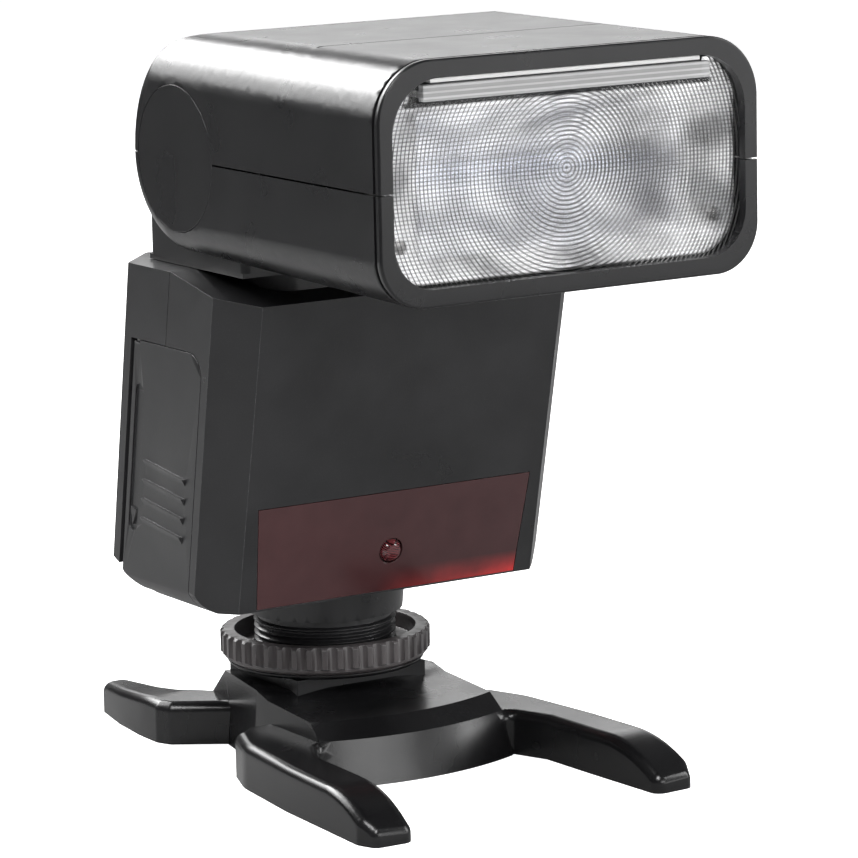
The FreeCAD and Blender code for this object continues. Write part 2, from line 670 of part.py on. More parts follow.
def hinge_barrel():
    y0, y1 = HINGE - 1.5, HINGE + 2.0
    top = door_height(HINGE)
    guard = leaned(polygon_prism([(-34, y0, -40), (-34, y1, -40), (-34, y1, top), (-34, y0, top)],
                                 Vec(8, 0, 0)))
    return hinge_rod(DOOR_ROUND, 60, 30).common(guard).common(case_solid)


def grip_rib(z):
    """Wedge-shaped rib across the door's outer face, with its flat top at z."""
    rib = polygon_prism([(SIDE_X + 0.25, 0, z - 1.5), (SIDE_X + 0.25, 0, z),
                         (SIDE_X - 0.62, 0, z)], Vec(0, 11.6, 0))
    turned = FreeCAD.Placement(Vec(0, -12.6, 0.65), FreeCAD.Rotation(X_AXIS, -5.0),
                               Vec(0, 5.8, z))
    on_draft = FreeCAD.Placement(Vec(DRAFT * -z, 0, 0), FreeCAD.Rotation())
    rib.Placement = LEAN.multiply(turned).multiply(on_draft)
    return rib


def direction_slot():
    """Round-ended slot sunk in the door's outer face, around a raised arrow."""
    radius, y, low, high = 1.3, 1.9, -14.2, 6.2
    x = SIDE_X - 0.68
    slot = solid_box(x, x + 1.0, y - radius, y + radius, low, high)
    slot = slot.fuse([rod_x(radius, 1.0, x, y, high), rod_x(radius, 1.0, x, y, low)])
    arrow = polygon_prism([(SIDE_X - 0.7, y - 0.8, -12.0), (SIDE_X - 0.7, y + 0.8, -12.0),
                           (SIDE_X - 0.7, y, -14.6)], Vec(1.6, 0, 0))
    slot = slot.removeSplitter().cut(arrow)
    slot.Placement = LEAN.multiply(FreeCAD.Placement(
        Vec(0, 0, 0), FreeCAD.Rotation(Y_AXIS, -dim("taper")), Vec(SIDE_X, y, 0)))
    return slot


def battery_door():
    door = hollow_case.common(door_prism(0.0, -27.35))
    # the lip under the body stops short of the hinge line
    door = door.cut(Part.makeBox(10, 9.0, 12, Vec(-28.3, 1.6, 20)))
    door = door.fuse(hinge_barrel()).removeSplitter()
    for i in range(4):
        door = door.fuse(grip_rib(-3.4 - i * 3.0))
    door = door.cut(direction_slot()).removeSplitter()
    door = door.cut(hinge_rod(dim("pin_radius") + 0.05, 80, 40))
    # The hinge end of the top edge is cut square to the hinge line, so that it stays under the
    # case edge as the door swings.
    corner = HINGE_POINT + DOOR_AXIS * -(door_height(HINGE) - 0.22)
    return door.cut(Part.makeCylinder(1.75, 6, corner, DOOR_AXIS * -1))


piece("battery_door", battery_door())
pin_top = door_height(HINGE) + 3.0
piece("door_pin", hinge_rod(dim("pin_radius"), pin_top + 20.0, pin_top))
shell = shell.cut(door_prism(dim("door_gap"), -27.2))
shell = shell.cut(hinge_rod(dim("pin_radius") + 0.25, 60, pin_top + 0.3))

# ================================================================ red window and focus lamp
WINDOW_FRONT = -26
ABOVE_FLOOR = Part.makeBox(100, 60, 40, Vec(-50, -60, BODY_LOW + 0.25))


def window_prism(grow, y1):
    """Window outline seen from the front, narrowing downwards and running on below the floor."""
    top = lean_height(-20.0, dim("window_top"))
    floor = lean_height(-18.0, BODY_LOW)
    bottom = floor - 6
    half_top, half_low = dim("window_half_top") + grow, dim("window_half_low") + grow
    half_bottom = half_top + (half_low - half_top) / (floor - top) * (bottom - top)
    return leaned(polygon_prism(
        [(-half_top, WINDOW_FRONT, top + grow), (half_top, WINDOW_FRONT, top + grow),
         (half_bottom, WINDOW_FRONT, bottom), (-half_bottom, WINDOW_FRONT, bottom)],
        Vec(0, y1 - WINDOW_FRONT, 0)))


lamp_radius = dim("lamp_radius")
lamp_mid = LEAN.multVec(Vec(0, -22.6, lean_height(-19.5, dim("lamp_z"))))
lamp_way = LEAN.Rotation.multVec(Y_AXIS)


def lamp_rod(radius, length, along):
    return Part.makeCylinder(radius, length, lamp_mid + lamp_way * along, lamp_way)


window = window_prism(0.0, dim("in_front_v") - 0.42).common(case_solid).common(ABOVE_FLOOR)
piece("red_window", window.cut(lamp_rod(lamp_radius + 0.2, 12, -3)))
lamp = lamp_rod(lamp_radius, 2.6, 0.35)
lamp = lamp.fuse(Part.makeSphere(lamp_radius, lamp_mid + lamp_way * 0.75)).removeSplitter()
piece("focus_lamp", lamp.cut(lamp_rod(4, 4, -4.6)))
shell = shell.cut(window_prism(0.12, dim("in_front_v") - 0.30).common(ABOVE_FLOOR))
shell = shell.cut(lamp_rod(lamp_radius + 0.1, 12, -3))

# ================================================================ controls on the rear face
# y of the rear face at height 0 of the leaning frame
REAR_Y = dim("back_v") - dim("block_low") * DRAFT
# depths of an opening through the rear wall
THROUGH = (-6, 4)


def rear_box(x, z, half_x, half_z, depths, radius):
    """Round-cornered block centred at (x, z); depths run outwards from the rear face."""
    return lean_box(x - half_x, x + half_x, REAR_Y + depths[0], REAR_Y + depths[1],
                    z - half_z, z + half_z, radius)


def rear_disc(radius, x, z, depths):
    return leaned(Part.makeCylinder(radius, depths[1] - depths[0],
                                    Vec(x, REAR_Y + depths[0], z), Y_AXIS))


z = dim("display_w")
half_x, half_z = dim("display_len") / 2, dim("display_high") / 2
shell = shell.cut(rear_box(0, z, half_x + 0.1, half_z + 0.1, (-0.8, 4), 1.5))
shell = shell.cut(rear_box(0, z, half_x - 1.4, half_z - 1.2, (-4, 4), 0.6))
piece("display_window", rear_box(0, z, half_x, half_z, (-0.78, -0.02), 1.4))
piece("display_module", lean_box(-18.2, 18.2, REAR_Y - 4.7, REAR_Y - 2.1, z - 8.6, z + 7.5, 0.4))

# Row of four keys, each with a flange behind the wall.
z = dim("key_w")
for i in range(4):
    x = dim("key_pitch") * (i - 1.5)
    shell = shell.cut(rear_box(x, z, 4.3, 2.2, THROUGH, 2.1))
    key = rear_box(x, z, 4.15, 2.05, (-2.9, 0.75), 2.0)
    key = key.fuse(rear_box(x, z, 4.8, 2.7, (-2.9, -2.05), 1.0)).removeSplitter()
    piece("key_%d" % (i + 1), key)

x, z = dim("test_x"), dim("test_w")
shell = shell.cut(rear_disc(3.1, x, z, THROUGH))
test_key = rear_disc(2.95, x, z, (-2.9, 0.8)).fuse(rear_disc(3.7, x, z, (-2.9, -2.05)))
piece("test_key", test_key.removeSplitter())


def select_dial(x, z):
    """Ring with a hub through the wall and 36 small grooves round its rim."""
    dial = rear_disc(7.6, x, z, (0.25, 2.2)).fuse(rear_disc(5.5, x, z, (-2.4, 1.0)))
    dial = dial.removeSplitter().cut(rear_disc(4.65, x, z, (-6, 6)))
    groove_circle = 7.72
    grooves = []
    for i in range(36):
        angle = 2 * math.pi * i / 36
        grooves.append(rear_disc(0.34, x + groove_circle * math.cos(angle),
                                 z + groove_circle * math.sin(angle), (-1, 4)))
    return dial.cut(Part.makeCompound(grooves))


x, z = dim("dial_x"), dim("dial_w")
shell = shell.cut(rear_disc(5.6, x, z, THROUGH))
piece("select_dial", select_dial(x, z))
piece("set_key", rear_disc(4.55, x, z, (-3.1, 1.9)))

x, z = dim("power_x"), dim("power_w")
shell = shell.cut(rear_box(x, z, 4.6, 1.4, THROUGH, 0.6))
knob = rear_box(x - 2.4, z, 2.0, 1.25, (-2.6, 1.1), 0.5)
knob = knob.fuse(rear_box(x - 2.25, z, 3.15, 2.0, (-2.6, -2.2), 0.4)).removeSplitter()
piece("power_slider", knob)

# ================================================================ side sockets, case screws
# Flat socket and round jack on the +X side.
JACK_Y, JACK_Z = -6.0, -1.0
shell = shell.cut(lean_box(24, 32, -9.7, -2.3, -9.0, -6.4, 0.9, "X"))
shell = shell.cut(leaned(rod_x(2.0, 8, 24, JACK_Y, JACK_Z)))
usb = solid_box(26.3, 29.4, -9.6, -2.4, -8.9, -6.5, 0.85, "X")
usb = usb.cut(solid_box(27.0, 32.0, -9.0, -3.0, -8.35, -7.05))
usb = usb.fuse(solid_box(26.9, 28.9, -8.4, -3.6, -7.9, -7.5)).removeSplitter()
jack = rod_x(1.95, 3.1, 26.3, JACK_Y, JACK_Z).cut(rod_x(1.25, 5.0, 27.0, JACK_Y, JACK_Z))
piece("side_sockets", leaned(usb), leaned(jack))

# Screws through the floor of the case, heads sunk.
case_screws = []
for x, y in ((-18.5, -11.0), (18.5, -11.0), (-18.5, -1.5), (18.5, -1.5)):
    shell = shell.cut(rod_z(1.9, 1.1, x, y, BODY_LOW - 0.01))
    shell = shell.cut(rod_z(0.95, 12, x, y, BODY_LOW))
    screw = rod_z(1.8, 0.95, x, y, BODY_LOW + 0.1).fuse(rod_z(0.9, 1.4, x, y, BODY_LOW + 1.0))
    case_screws.append(cross_slot(screw.removeSplitter(), x, y, BODY_LOW, 2.0, 0.5, 0.5))
piece("case_screws", *case_screws)

# The case is split into a front and a rear half along the leaning frame.
half_gap = dim("split_gap") / 2
shell_form = feature("case_shell", shell)
front_region = feature("front_region", lean_box(-50, 50, -60, dim("split_v") - half_gap, -70, 70))
rear_region = feature("rear_region", lean_box(-50, 50, dim("split_v") + half_gap, 60, -70, 70))
node("front_case", common("front_case", shell_form, front_region))
node("rear_case", common("rear_case", shell_form, rear_region))

# ================================================================ collar
THREAD_PITCH = 1.0
FIRST_THREAD = 0.3
# One thread ridge: radius, rise above the start of the thread.
RIDGE = [("root", 0.0), ("crest", 0.3), ("crest", 0.45), ("root", 0.75)]


def threaded_collar():
    """Cone under the body with a ridged nose; its top follows the body's underside."""
    points = [("dims.collar_bore", "dims.thread_end"), ("dims.thread_root", "dims.thread_end")]
    room = dim("collar_shoulder") - 1.2 - dim("thread_end") - FIRST_THREAD
    for i in range(math.ceil(room / THREAD_PITCH)):
        for level, rise in RIDGE:
            height = FIRST_THREAD + i * THREAD_PITCH + rise
            points.append(("dims.thread_" + level, "dims.thread_end+%.2f" % height))
    points += [
        ("dims.thread_root", "dims.collar_shoulder"),
        ("dims.collar_low_radius", "dims.collar_shoulder"),
        ("dims.collar_radius", "dims.body_low"), ("dims.collar_radius", "dims.body_low+8"),
        ("dims.collar_bore", "dims.body_low+8")]
    return cut("threaded_collar", turn("collar", points), case_block)


node("threaded_collar", threaded_collar())

# ================================================================ inside the body
cell_x, cell_y, cell_z = dim("cell_x"), dim("cell_v"), dim("cell_low_w")
cells = []
springs = []
# The lower cell has its nub towards +X, the upper one towards -X.
for i, (nub_x, spring_x) in enumerate(((cell_x + dim("cell_len"), 24.9), (cell_x - 1.0, 23.9))):
    z = cell_z + i * dim("cell_step")
    cell = rod_x(dim("cell_radius"), dim("cell_len"), cell_x, cell_y, z)
    cells.append(leaned(cell.fuse(rod_x(2.7, 1.0, nub_x, cell_y, z)).removeSplitter()))
    spring = rod_x(2.6, 25.5 - spring_x, spring_x + 0.05, cell_y, z)
    springs.append(leaned(spring.cut(rod_x(1.6, 4, spring_x - 1, cell_y, z))))
piece("aa_cells", *cells)
piece("contact_springs", *springs)
piece("bay_contact",
      lean_box(25.6, 26.1, cell_y - 7.0, cell_y + 7.0, cell_z - 6.5, cell_z + 21.5))
piece("door_contact",
      lean_box(-27.22, -26.82, cell_y - 5.6, cell_y + 5.4, cell_z - 1.0, cell_z + 19.8))
capacitor = rod_x(dim("capacitor_radius"), dim("capacitor_len"), -dim("capacitor_len") / 2,
                  cell_y, dim("capacitor_w"))
end_edges = [e for e in capacitor.Edges if abs(e.BoundBox.XLength) < 1e-6]
piece("main_capacitor", leaned(capacitor.makeFillet(0.8, end_edges)))
piece("main_board", lean_box(-21.0, 21.0, 3.3, 4.9, -18.0, 18.5))
piece("key_board", lean_box(-21.5, 21.5, 6.4, 7.6, -17.0, 4.0))
transformer = Part.makeBox(14, 5.6, 12, Vec(-8.0, -19.3, -13.0))
piece("charging_transformer", leaned(transformer.makeFillet(0.8, transformer.Edges)))

# ================================================================ neck
TILT_Y, TILT_Z = dim("tilt_y"), dim("tilt_z")
NECK_HALF = dim("neck_half")
EAR_INNER = dim("ear_inner")

node("neck_base_plate", fuse(
    "neck_base_plate",
    box("neck_plate", "-dims.neck_half+0.3", "dims.neck_half-0.3", "dims.neck_front+1.0",
        "dims.neck_back+0.5", "dims.neck_plate_low", "dims.neck_low"),
    cut("spigot",
        cyl("spigot_out", "dims.spigot_radius", "dims.neck_plate_low-dims.spigot_low+0.2",
            0, "dims.pan_y", "dims.spigot_low"),
        cyl("spigot_in", "dims.spigot_bore", 10, 0, "dims.pan_y", 70))))
node("pan_retainer", cut(
    "pan_retainer",
    cyl("retainer_out", "dims.retainer_radius", 1.3, 0, "dims.pan_y", "dims.spigot_low+0.1"),
    cyl("retainer_in", "dims.spigot_radius", 4, 0, "dims.pan_y", 70)))
node("pan_washer", cut(
    "pan_washer",
    cyl("washer_out", "dims.retainer_radius", 0.4, 0, "dims.pan_y", 72.85),
    cyl("washer_in", "dims.spigot_radius+0.05", 4, 0, "dims.pan_y", 71)))


def neck_housing():
    """Block under a wide barrel on the tilt axis, bored for the axle and from below."""
    front, back = dim("neck_front"), dim("neck_back")
    low, high, radius = dim("neck_low"), dim("neck_high"), dim("barrel_radius")
    outline = [(front, low), (back, low), (back, high),
               (TILT_Y + radius * 0.86, TILT_Z - radius * 0.5), (TILT_Y, TILT_Z),
               (TILT_Y - 9.6, TILT_Z - 8.3), (front, high - 1.2)]
    block = polygon_prism([(-NECK_HALF, y, z) for y, z in outline], Vec(2 * NECK_HALF, 0, 0))
    barrel = rod_x(radius, 2 * NECK_HALF + 0.8, -NECK_HALF - 0.4, TILT_Y, TILT_Z)
    block = block.fuse(barrel).removeSplitter()
    upright = []
    for edge in block.Edges:
        bounds = edge.BoundBox
        if (bounds.ZLength > 4 and bounds.XLength < 1e-3 and bounds.YLength < 1e-3
                and bounds.ZMin < low + 0.1):
            upright.append(edge)
    block = block.makeFillet(1.2, upright)
    block = block.cut(rod_x(dim("axle_radius"), 80, -40, TILT_Y, TILT_Z))
    block = block.cut(rod_z(4.0, 20, 0, dim("pan_y"), 70))
    # recesses for the detent discs
    for x in (-NECK_HALF - 0.5, NECK_HALF + 0.5 - 1.4):
        block = block.cut(rod_x(7.9, 1.4, x, TILT_Y, TILT_Z))
    return block


def detent_disc(x, thick):
    """Disc with small holes at the tilt stops, from straight down to forward-back level."""
    disc = rod_x(7.6, thick, x, TILT_Y, TILT_Z)
    disc = disc.cut(rod_x(dim("axle_radius") + 0.08, 4, x - 1, TILT_Y, TILT_Z))
    for degrees in (-90, -45, -30, -15, 0):
        angle = math.radians(degrees)
        disc = disc.cut(rod_x(0.55, 4, x - 1, TILT_Y + 6.7 * math.cos(angle),
                              TILT_Z + 6.7 * math.sin(angle)))
    return disc


piece("neck_housing", neck_housing())
node("tilt_axle", cyl("tilt_axle", "dims.axle_radius", "2*dims.axle_half", "-dims.axle_half",
                      "dims.tilt_y", "dims.tilt_z", "x"))
disc_face = 26.1
piece("tilt_detent_discs",
      *[detent_disc(x, EAR_INNER - disc_face) for x in (-EAR_INNER, disc_face)])

# ================================================================ head shells
HEAD_HALF = dim("head_half")
LEDGE_Y = dim("ledge_y")
HEAD_SCREW_X = (-20.0, 20.0)
HEAD_SCREW_Y = -29.0


def ear_arc(high, start, end):
    """Quarter of an ellipse about the tilt axis, on the head's -X side."""
    points = []
    for i in range(17):
        angle = start + (end - start) * i / 16.0
        points.append(Vec(-HEAD_HALF, TILT_Y + dim("ear_radius") * math.cos(angle),
                          TILT_Z + high * math.sin(angle)))
    curve = Part.BSplineCurve()
    curve.interpolate(points)
    return curve.toShape()


def head_block():
    """Loft from front to rear, cut to a side outline with rounded ears, rim softened."""
    front, top, low = dim("head_front"), dim("ear_top"), dim("ear_low")
    loft = Part.makeLoft([
        section(front, HEAD_HALF, dim("head_low"), dim("head_top"),
                dim("corner_low"), dim("corner_top")),
        section(dim("head_rear"), HEAD_HALF, dim("head_low_rear"), dim("head_top_rear"),
                dim("corner_low_rear"), dim("corner_top_rear"))], True, True)
    edges = [ear_arc(top, math.pi / 2, 0.0), ear_arc(low, 0.0, -math.pi / 2)]
    edges += chain(Vec(-HEAD_HALF, TILT_Y, TILT_Z - low), Vec(-HEAD_HALF, -75, TILT_Z - low - 4),
                   Vec(-HEAD_HALF, -75, TILT_Z + top + 4), Vec(-HEAD_HALF, TILT_Y, TILT_Z + top))
    side = wire_prism(edges, Vec(2 * HEAD_HALF, 0, 0))
    ears = [e for e in side.Edges if e.BoundBox.YMax > 1.0 and e.BoundBox.XLength < 1e-3]
    head = loft.common(side.makeFillet(dim("ear_round"), ears)).removeSplitter()
    rim = [e for e in head.Edges if abs(e.BoundBox.YMin - front) < 1e-4
           and abs(e.BoundBox.YMax - front) < 1e-4]
    # The rim stays sharp if the kernel cannot round it.
    try:
        rounded = head.makeFillet(0.35, rim)
        if rounded.isValid():
            head = rounded
    except Exception:
        pass
    return head


def rim_groove():
    """Shallow groove all round the head, just behind the rim."""
    low, top = dim("head_low"), dim("head_top")
    corner_low, corner_top = dim("corner_low"), dim("corner_top")
    outside = bar(-67.5, -66.85, HEAD_HALF + 2, low - 2, top + 2, corner_low + 2, corner_top + 2)
    return outside.cut(bar(-67.6, -66.75, HEAD_HALF - 0.32, low + 0.34, top - 0.32,
                           corner_low - 0.3, corner_top - 0.3))


def hollow_head():
    """Head with its lens opening, bay, room for the neck, and its holes."""
    corner_low, corner_top = dim("open_corner_low"), dim("open_corner_top")
    head = head_block().cut(rim_groove())
    # fine line across the top
    head = head.cut(Part.makeBox(52, 0.35, 2, Vec(-26, -42.3, dim("head_top") - 0.22)))
    cuts = [
        bar(-72, LEDGE_Y + 0.01, dim("open_half"), dim("open_low"), dim("open_top"),
            corner_low, corner_top),
        bar(LEDGE_Y, dim("bay_rear"), dim("bay_half"), dim("bay_low"), dim("bay_top"),
            corner_low + 0.4, corner_top + 0.4),
        rod_x(dim("barrel_cavity"), 2 * EAR_INNER, -EAR_INNER, TILT_Y, TILT_Z),
        # open space under and behind the barrel, between the ears
        Part.makeBox(2 * EAR_INNER, 40, 30, Vec(-EAR_INNER, -24.9, TILT_Z - 30)),
        Part.makeBox(2 * EAR_INNER, 40, 30, Vec(-EAR_INNER, -9.2, TILT_Z - 1)),
        rod_x(dim("axle_radius") + dim("axle_clear"), 80, -40, TILT_Y, TILT_Z),
    ]
    cap_x = HEAD_HALF - dim("cap_depth") - 0.05
    for x in (-cap_x - 3, cap_x):
        cuts.append(rod_x(dim("cap_radius") + 0.1, 3, x, TILT_Y, TILT_Z))
    for x in HEAD_SCREW_X:
        cuts.append(rod_z(1.8, 3.0, x, HEAD_SCREW_Y, 76.4))
        cuts.append(rod_z(0.96, 28, x, HEAD_SCREW_Y, 77))
    for tool in cuts:
        head = head.cut(tool)
    return head


def head_screw(x):
    y = HEAD_SCREW_Y
    screw = rod_z(1.7, 1.3, x, y, 78.1).fuse(rod_z(0.9, 20, x, y, 79.2)).removeSplitter()
    return cross_slot(screw, x, y, 77.9, length=2.0, width=0.5, depth=0.6)


head_form = feature("head_form", hollow_head())
upper_zone = box("upper_zone", -60, 60, -90, 30, "dims.tilt_z+dims.shell_gap_half", 140)
lower_zone = box("lower_zone", -60, 60, -90, 30, 40, "dims.tilt_z-dims.shell_gap_half")
node("head_upper_shell", common("head_upper_shell", head_form, upper_zone))
node("head_lower_shell", common("head_lower_shell", head_form, lower_zone))
piece("head_screws", *[head_screw(x) for x in HEAD_SCREW_X])
node("hinge_caps", group("hinge_caps", *[
    cyl(label, "dims.cap_radius", "dims.cap_depth", x, "dims.tilt_y", "dims.tilt_z", "x")
    for label, x in (("cap_left", "-dims.head_half"),
                     ("cap_right", "dims.head_half-dims.cap_depth"))]))

# ================================================================ lens, panel, card
# The lens has a notch at the top for the panel's lip.
lens = bar(LEDGE_Y, LEDGE_Y + dim("lens_thick"), dim("bay_half") - 0.05, dim("bay_low") + 0.05,
           dim("bay_top"), dim("open_corner_low") + 0.35, dim("open_corner_top") + 0.35)
notch_half = dim("panel_half") + 0.45
piece("fresnel_lens",
      lens.cut(Part.makeBox(2 * notch_half, 20, 20, Vec(-notch_half, -75, dim("lens_top")))))
node("panel_tray", box(
    "panel_tray", "-dims.tray_half", "dims.tray_half", "dims.ledge_y+dims.lens_thick+0.1",
    "dims.bay_rear", "dims.tray_z", "dims.tray_z+dims.tray_thick"))
node("wide_panel", fuse(
    "wide_panel",
    box("panel_plate", "-dims.panel_half", "dims.panel_half", "dims.panel_y",
        "dims.panel_y+dims.panel_len", "dims.panel_z", "dims.panel_z+dims.panel_thick"),
    box("panel_front", "-dims.panel_half", "dims.panel_half", -67.7, -66.5,
        "dims.lens_top+0.2", "dims.lens_top+0.2+dims.panel_lip")))
node("catchlight_card", box(
    "catchlight_card", "-dims.card_half", "dims.card_half", "dims.card_y",
    "dims.card_y+dims.card_len", "dims.card_z", "dims.card_z+dims.card_thick"))

# ================================================================ reflector and flash tube
def trough_curve(offset):
    """Parabola (y, z) open to the front, moved outwards by an offset."""
    steps = 14
    vertex = dim("reflector_vertex") - dim("reflector_wall") + offset
    high = dim("reflector_high") + offset
    points = []
    for i in range(-steps, steps + 1):
        part = i / float(steps)
        points.append(Vec(-dim("reflector_half"), vertex - dim("reflector_deep") * part * part,
                          dim("zoom_z") + high * part))
    curve = Part.BSplineCurve()
    curve.interpolate(points)
    return curve


def curve_ends(curve):
    return curve.value(curve.FirstParameter), curve.value(curve.LastParameter)


def reflector():
    """Parabolic trough closed by two cheeks, bored across for the tube."""
    wall, width = dim("reflector_wall"), 2 * dim("reflector_half")
    inner, outer = trough_curve(0.0), trough_curve(wall)
    inner_low, inner_high = curve_ends(inner)
    outer_low, outer_high = curve_ends(outer)
    trough = wire_prism([inner.toShape(), Part.makeLine(inner_high, outer_high),
                         outer.toShape(), Part.makeLine(outer_low, inner_low)],
                        Vec(width, 0, 0))
    cheek_face = Part.Face(Part.Wire([inner.toShape(), Part.makeLine(inner_high, inner_low)]))
    left = cheek_face.extrude(Vec(wall, 0, 0))
    right = cheek_face.extrude(Vec(wall, 0, 0))
    right.translate(Vec(width - wall, 0, 0))
    bore = rod_x(dim("tube_radius") + 0.03, 60, -30, dim("tube_y"), dim("zoom_z"))
    return trough.fuse([left, right]).removeSplitter().cut(bore)


def tube_part(label, radius, length, x):
    """Cylinder across the head on the flash tube's axis."""
    return cyl(label, radius, length, x, "dims.tube_y", "dims.zoom_z", "x")


piece("reflector", reflector())
node("flash_tube", tube_part("flash_tube", "dims.tube_radius", "2*dims.tube_half",
                             "-dims.tube_half"))
node("tube_end_caps", group(
    "tube_end_caps",
    tube_part("tube_cap_l", "dims.tube_radius", 1.0, "-dims.tube_half-1.1"),
    tube_part("tube_cap_r", "dims.tube_radius", 1.0, "dims.tube_half+0.1")))

# ================================================================ zoom carriage and drive
# Places of the guide rods and of the drive screw: label ending, x, z.
LEFT_ROD = ("l", "-dims.rod_x", "dims.rod_z")
RIGHT_ROD = ("r", "dims.rod_x", "dims.rod_z")
DRIVE = ("n", "-dims.rod_x", "dims.screw_z")


def carriage_bush(label, place):
    return cyl(label, "dims.carriage_bush", "dims.carriage_len", place[1],
               "dims.carriage_front", place[2], "y")


def carriage_bore(place, radius):
    return cyl("carriage_bore_" + place[0], radius, 20, place[1], -60, place[2], "y")


def carriage_cheek(label, x0, x1):
    return box(label, x0, x1, "dims.carriage_front", "dims.carriage_front+dims.carriage_len",
               "dims.carriage_low", "dims.carriage_top")


carriage_block = fuse(
    "carriage_block",
    carriage_cheek("carriage_left", "-dims.carriage_half", "-dims.carriage_half+dims.cheek_thick"),
    carriage_cheek("carriage_right", "dims.carriage_half-dims.cheek_thick", "dims.carriage_half"),
    box("carriage_back", "-dims.carriage_half", "dims.carriage_half", -46.9, -46.1, 87, 97),
    carriage_bush("carriage_bush_l", LEFT_ROD),
    carriage_bush("carriage_bush_r", RIGHT_ROD),
    carriage_bush("carriage_nut", DRIVE))
node("zoom_carriage", cut(
    "zoom_carriage", carriage_block,
    carriage_bore(LEFT_ROD, "dims.rod_radius+0.05"),
    carriage_bore(RIGHT_ROD, "dims.rod_radius+0.05"),
    carriage_bore(DRIVE, "dims.screw_radius+0.06"),
    tube_part("carriage_tube_hole", "dims.tube_radius+0.4", 60, -30)))
node("zoom_guide_rods", group("zoom_guide_rods", *[
    cyl("rod_" + side, "dims.rod_radius", "dims.rod_len", x, "dims.rod_y", z, "y")
    for side, x, z in (LEFT_ROD, RIGHT_ROD)]))
motor_front = "dims.bay_rear-dims.motor_len"
node("zoom_motor", cut(
    "zoom_motor",
    cyl("motor_can", "dims.motor_radius", "dims.motor_len", "-dims.rod_x", motor_front,
        "dims.screw_z", "y"),
    cyl("motor_bore", "dims.screw_radius+0.05", 3, "-dims.rod_x", motor_front + "-0.5",
        "dims.screw_z", "y")))
node("zoom_screw", cyl("zoom_screw", "dims.screw_radius", "dims.screw_len", "-dims.rod_x",
                       motor_front + "+2-dims.screw_len", "dims.screw_z", "y"))
board_front = "dims.bay_rear-dims.board_thick"
node("trigger_board", box("trigger_board", -21, 21, board_front, "dims.bay_rear", 82, 101))
node("trigger_coil", box("trigger_coil", 4, 14, board_front + "-3.2", board_front, 86, 94))

doc.recompute()

# ================================================================ checks and export
bad = []
for obj in doc.Objects:
    if "Invalid" in obj.State or "Error" in obj.State:
        bad.append("%s %s" % (obj.Name, obj.State))
for name, obj in NODES.items():
    shape = obj.Shape
    if shape.isNull() or not shape.isValid() or not shape.Solids:
        bad.append("%s has no valid solid" % name)
if bad:
    raise SystemExit("\n".join(bad))
os.makedirs("parts", exist_ok=True)
for old in os.listdir("parts"):
    if old.endswith(".step"):
        os.remove(os.path.join("parts", old))
for name, obj in NODES.items():
    obj.Shape.exportStep("parts/%s.step" % name)
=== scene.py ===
"""A camera flash standing on its foot, with a swivelling head.

The flash stands upright along +Z and its lens faces -Y; the display is on the +Y side.
Sizes of the flash are in millimetres and are scaled by MM. The stage is in metres.
The CAD pieces get finishes and soft edges here. The lens, the liner behind it, the trigger
wire and the display artwork are built here.
"""
import math

import bmesh
import bpy
from mathutils import Matrix, Vector

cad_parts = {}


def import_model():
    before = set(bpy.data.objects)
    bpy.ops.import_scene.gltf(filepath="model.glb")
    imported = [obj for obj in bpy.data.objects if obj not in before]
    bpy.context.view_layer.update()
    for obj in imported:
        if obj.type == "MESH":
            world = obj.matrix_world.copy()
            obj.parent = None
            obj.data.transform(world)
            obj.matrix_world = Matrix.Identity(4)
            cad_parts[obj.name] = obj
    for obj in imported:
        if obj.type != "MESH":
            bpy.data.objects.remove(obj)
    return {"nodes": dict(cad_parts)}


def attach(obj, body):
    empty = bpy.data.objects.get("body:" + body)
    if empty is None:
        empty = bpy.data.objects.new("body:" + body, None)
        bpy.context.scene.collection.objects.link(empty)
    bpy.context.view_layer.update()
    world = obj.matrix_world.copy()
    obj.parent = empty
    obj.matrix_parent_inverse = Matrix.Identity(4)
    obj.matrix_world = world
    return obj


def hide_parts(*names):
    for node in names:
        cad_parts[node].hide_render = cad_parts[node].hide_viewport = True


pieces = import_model()["nodes"]


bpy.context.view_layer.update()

MM = 0.001

# Lens outline in X and Z, and the notch in its top edge
LENS_HALF = 29.15
LENS_LOW, LENS_TOP = 78.8, 107.4
LENS_LOW_RADIUS, LENS_TOP_RADIUS = 6.7, 7.9
NOTCH_HALF, NOTCH_Z = 23.85, 103.65

# Ridges of the lens: rings on the front face, level flutes on the back face
RING_CENTRE_Z = 93.2
RING_PITCH = 0.62
FLUTE_PITCH = 0.55


# ------------------------------------------------------------------ shader helpers
def feed(tree, node, inputs):
    """Sets a node's inputs by name or number: sockets are linked, other values are stored."""
    for name, value in inputs.items():
        if isinstance(value, bpy.types.NodeSocket):
            tree.links.new(value, node.inputs[name])
        else:
            node.inputs[name].default_value = value


def add_node(tree, kind, inputs, **attributes):
    node = tree.nodes.new("ShaderNode" + kind)
    for name, value in attributes.items():
        setattr(node, name, value)
    feed(tree, node, inputs)
    return node


def new_material(name):
    material = bpy.data.materials.new(name)
    material.use_nodes = True
    tree = material.node_tree
    return material, tree, tree.nodes["Principled BSDF"]


def object_coords(tree):
    return add_node(tree, "TexCoord", {}).outputs["Object"]


def calculate(tree, operation, *values):
    return add_node(tree, "Math", dict(enumerate(values)), operation=operation).outputs[0]


def noise(tree, position, size, detail=2.0):
    """Noise with features of about `size` mm."""
    inputs = {"Vector": position, "Scale": 1.0 / (size * MM), "Detail": detail}
    return add_node(tree, "TexNoise", inputs).outputs["Fac"]


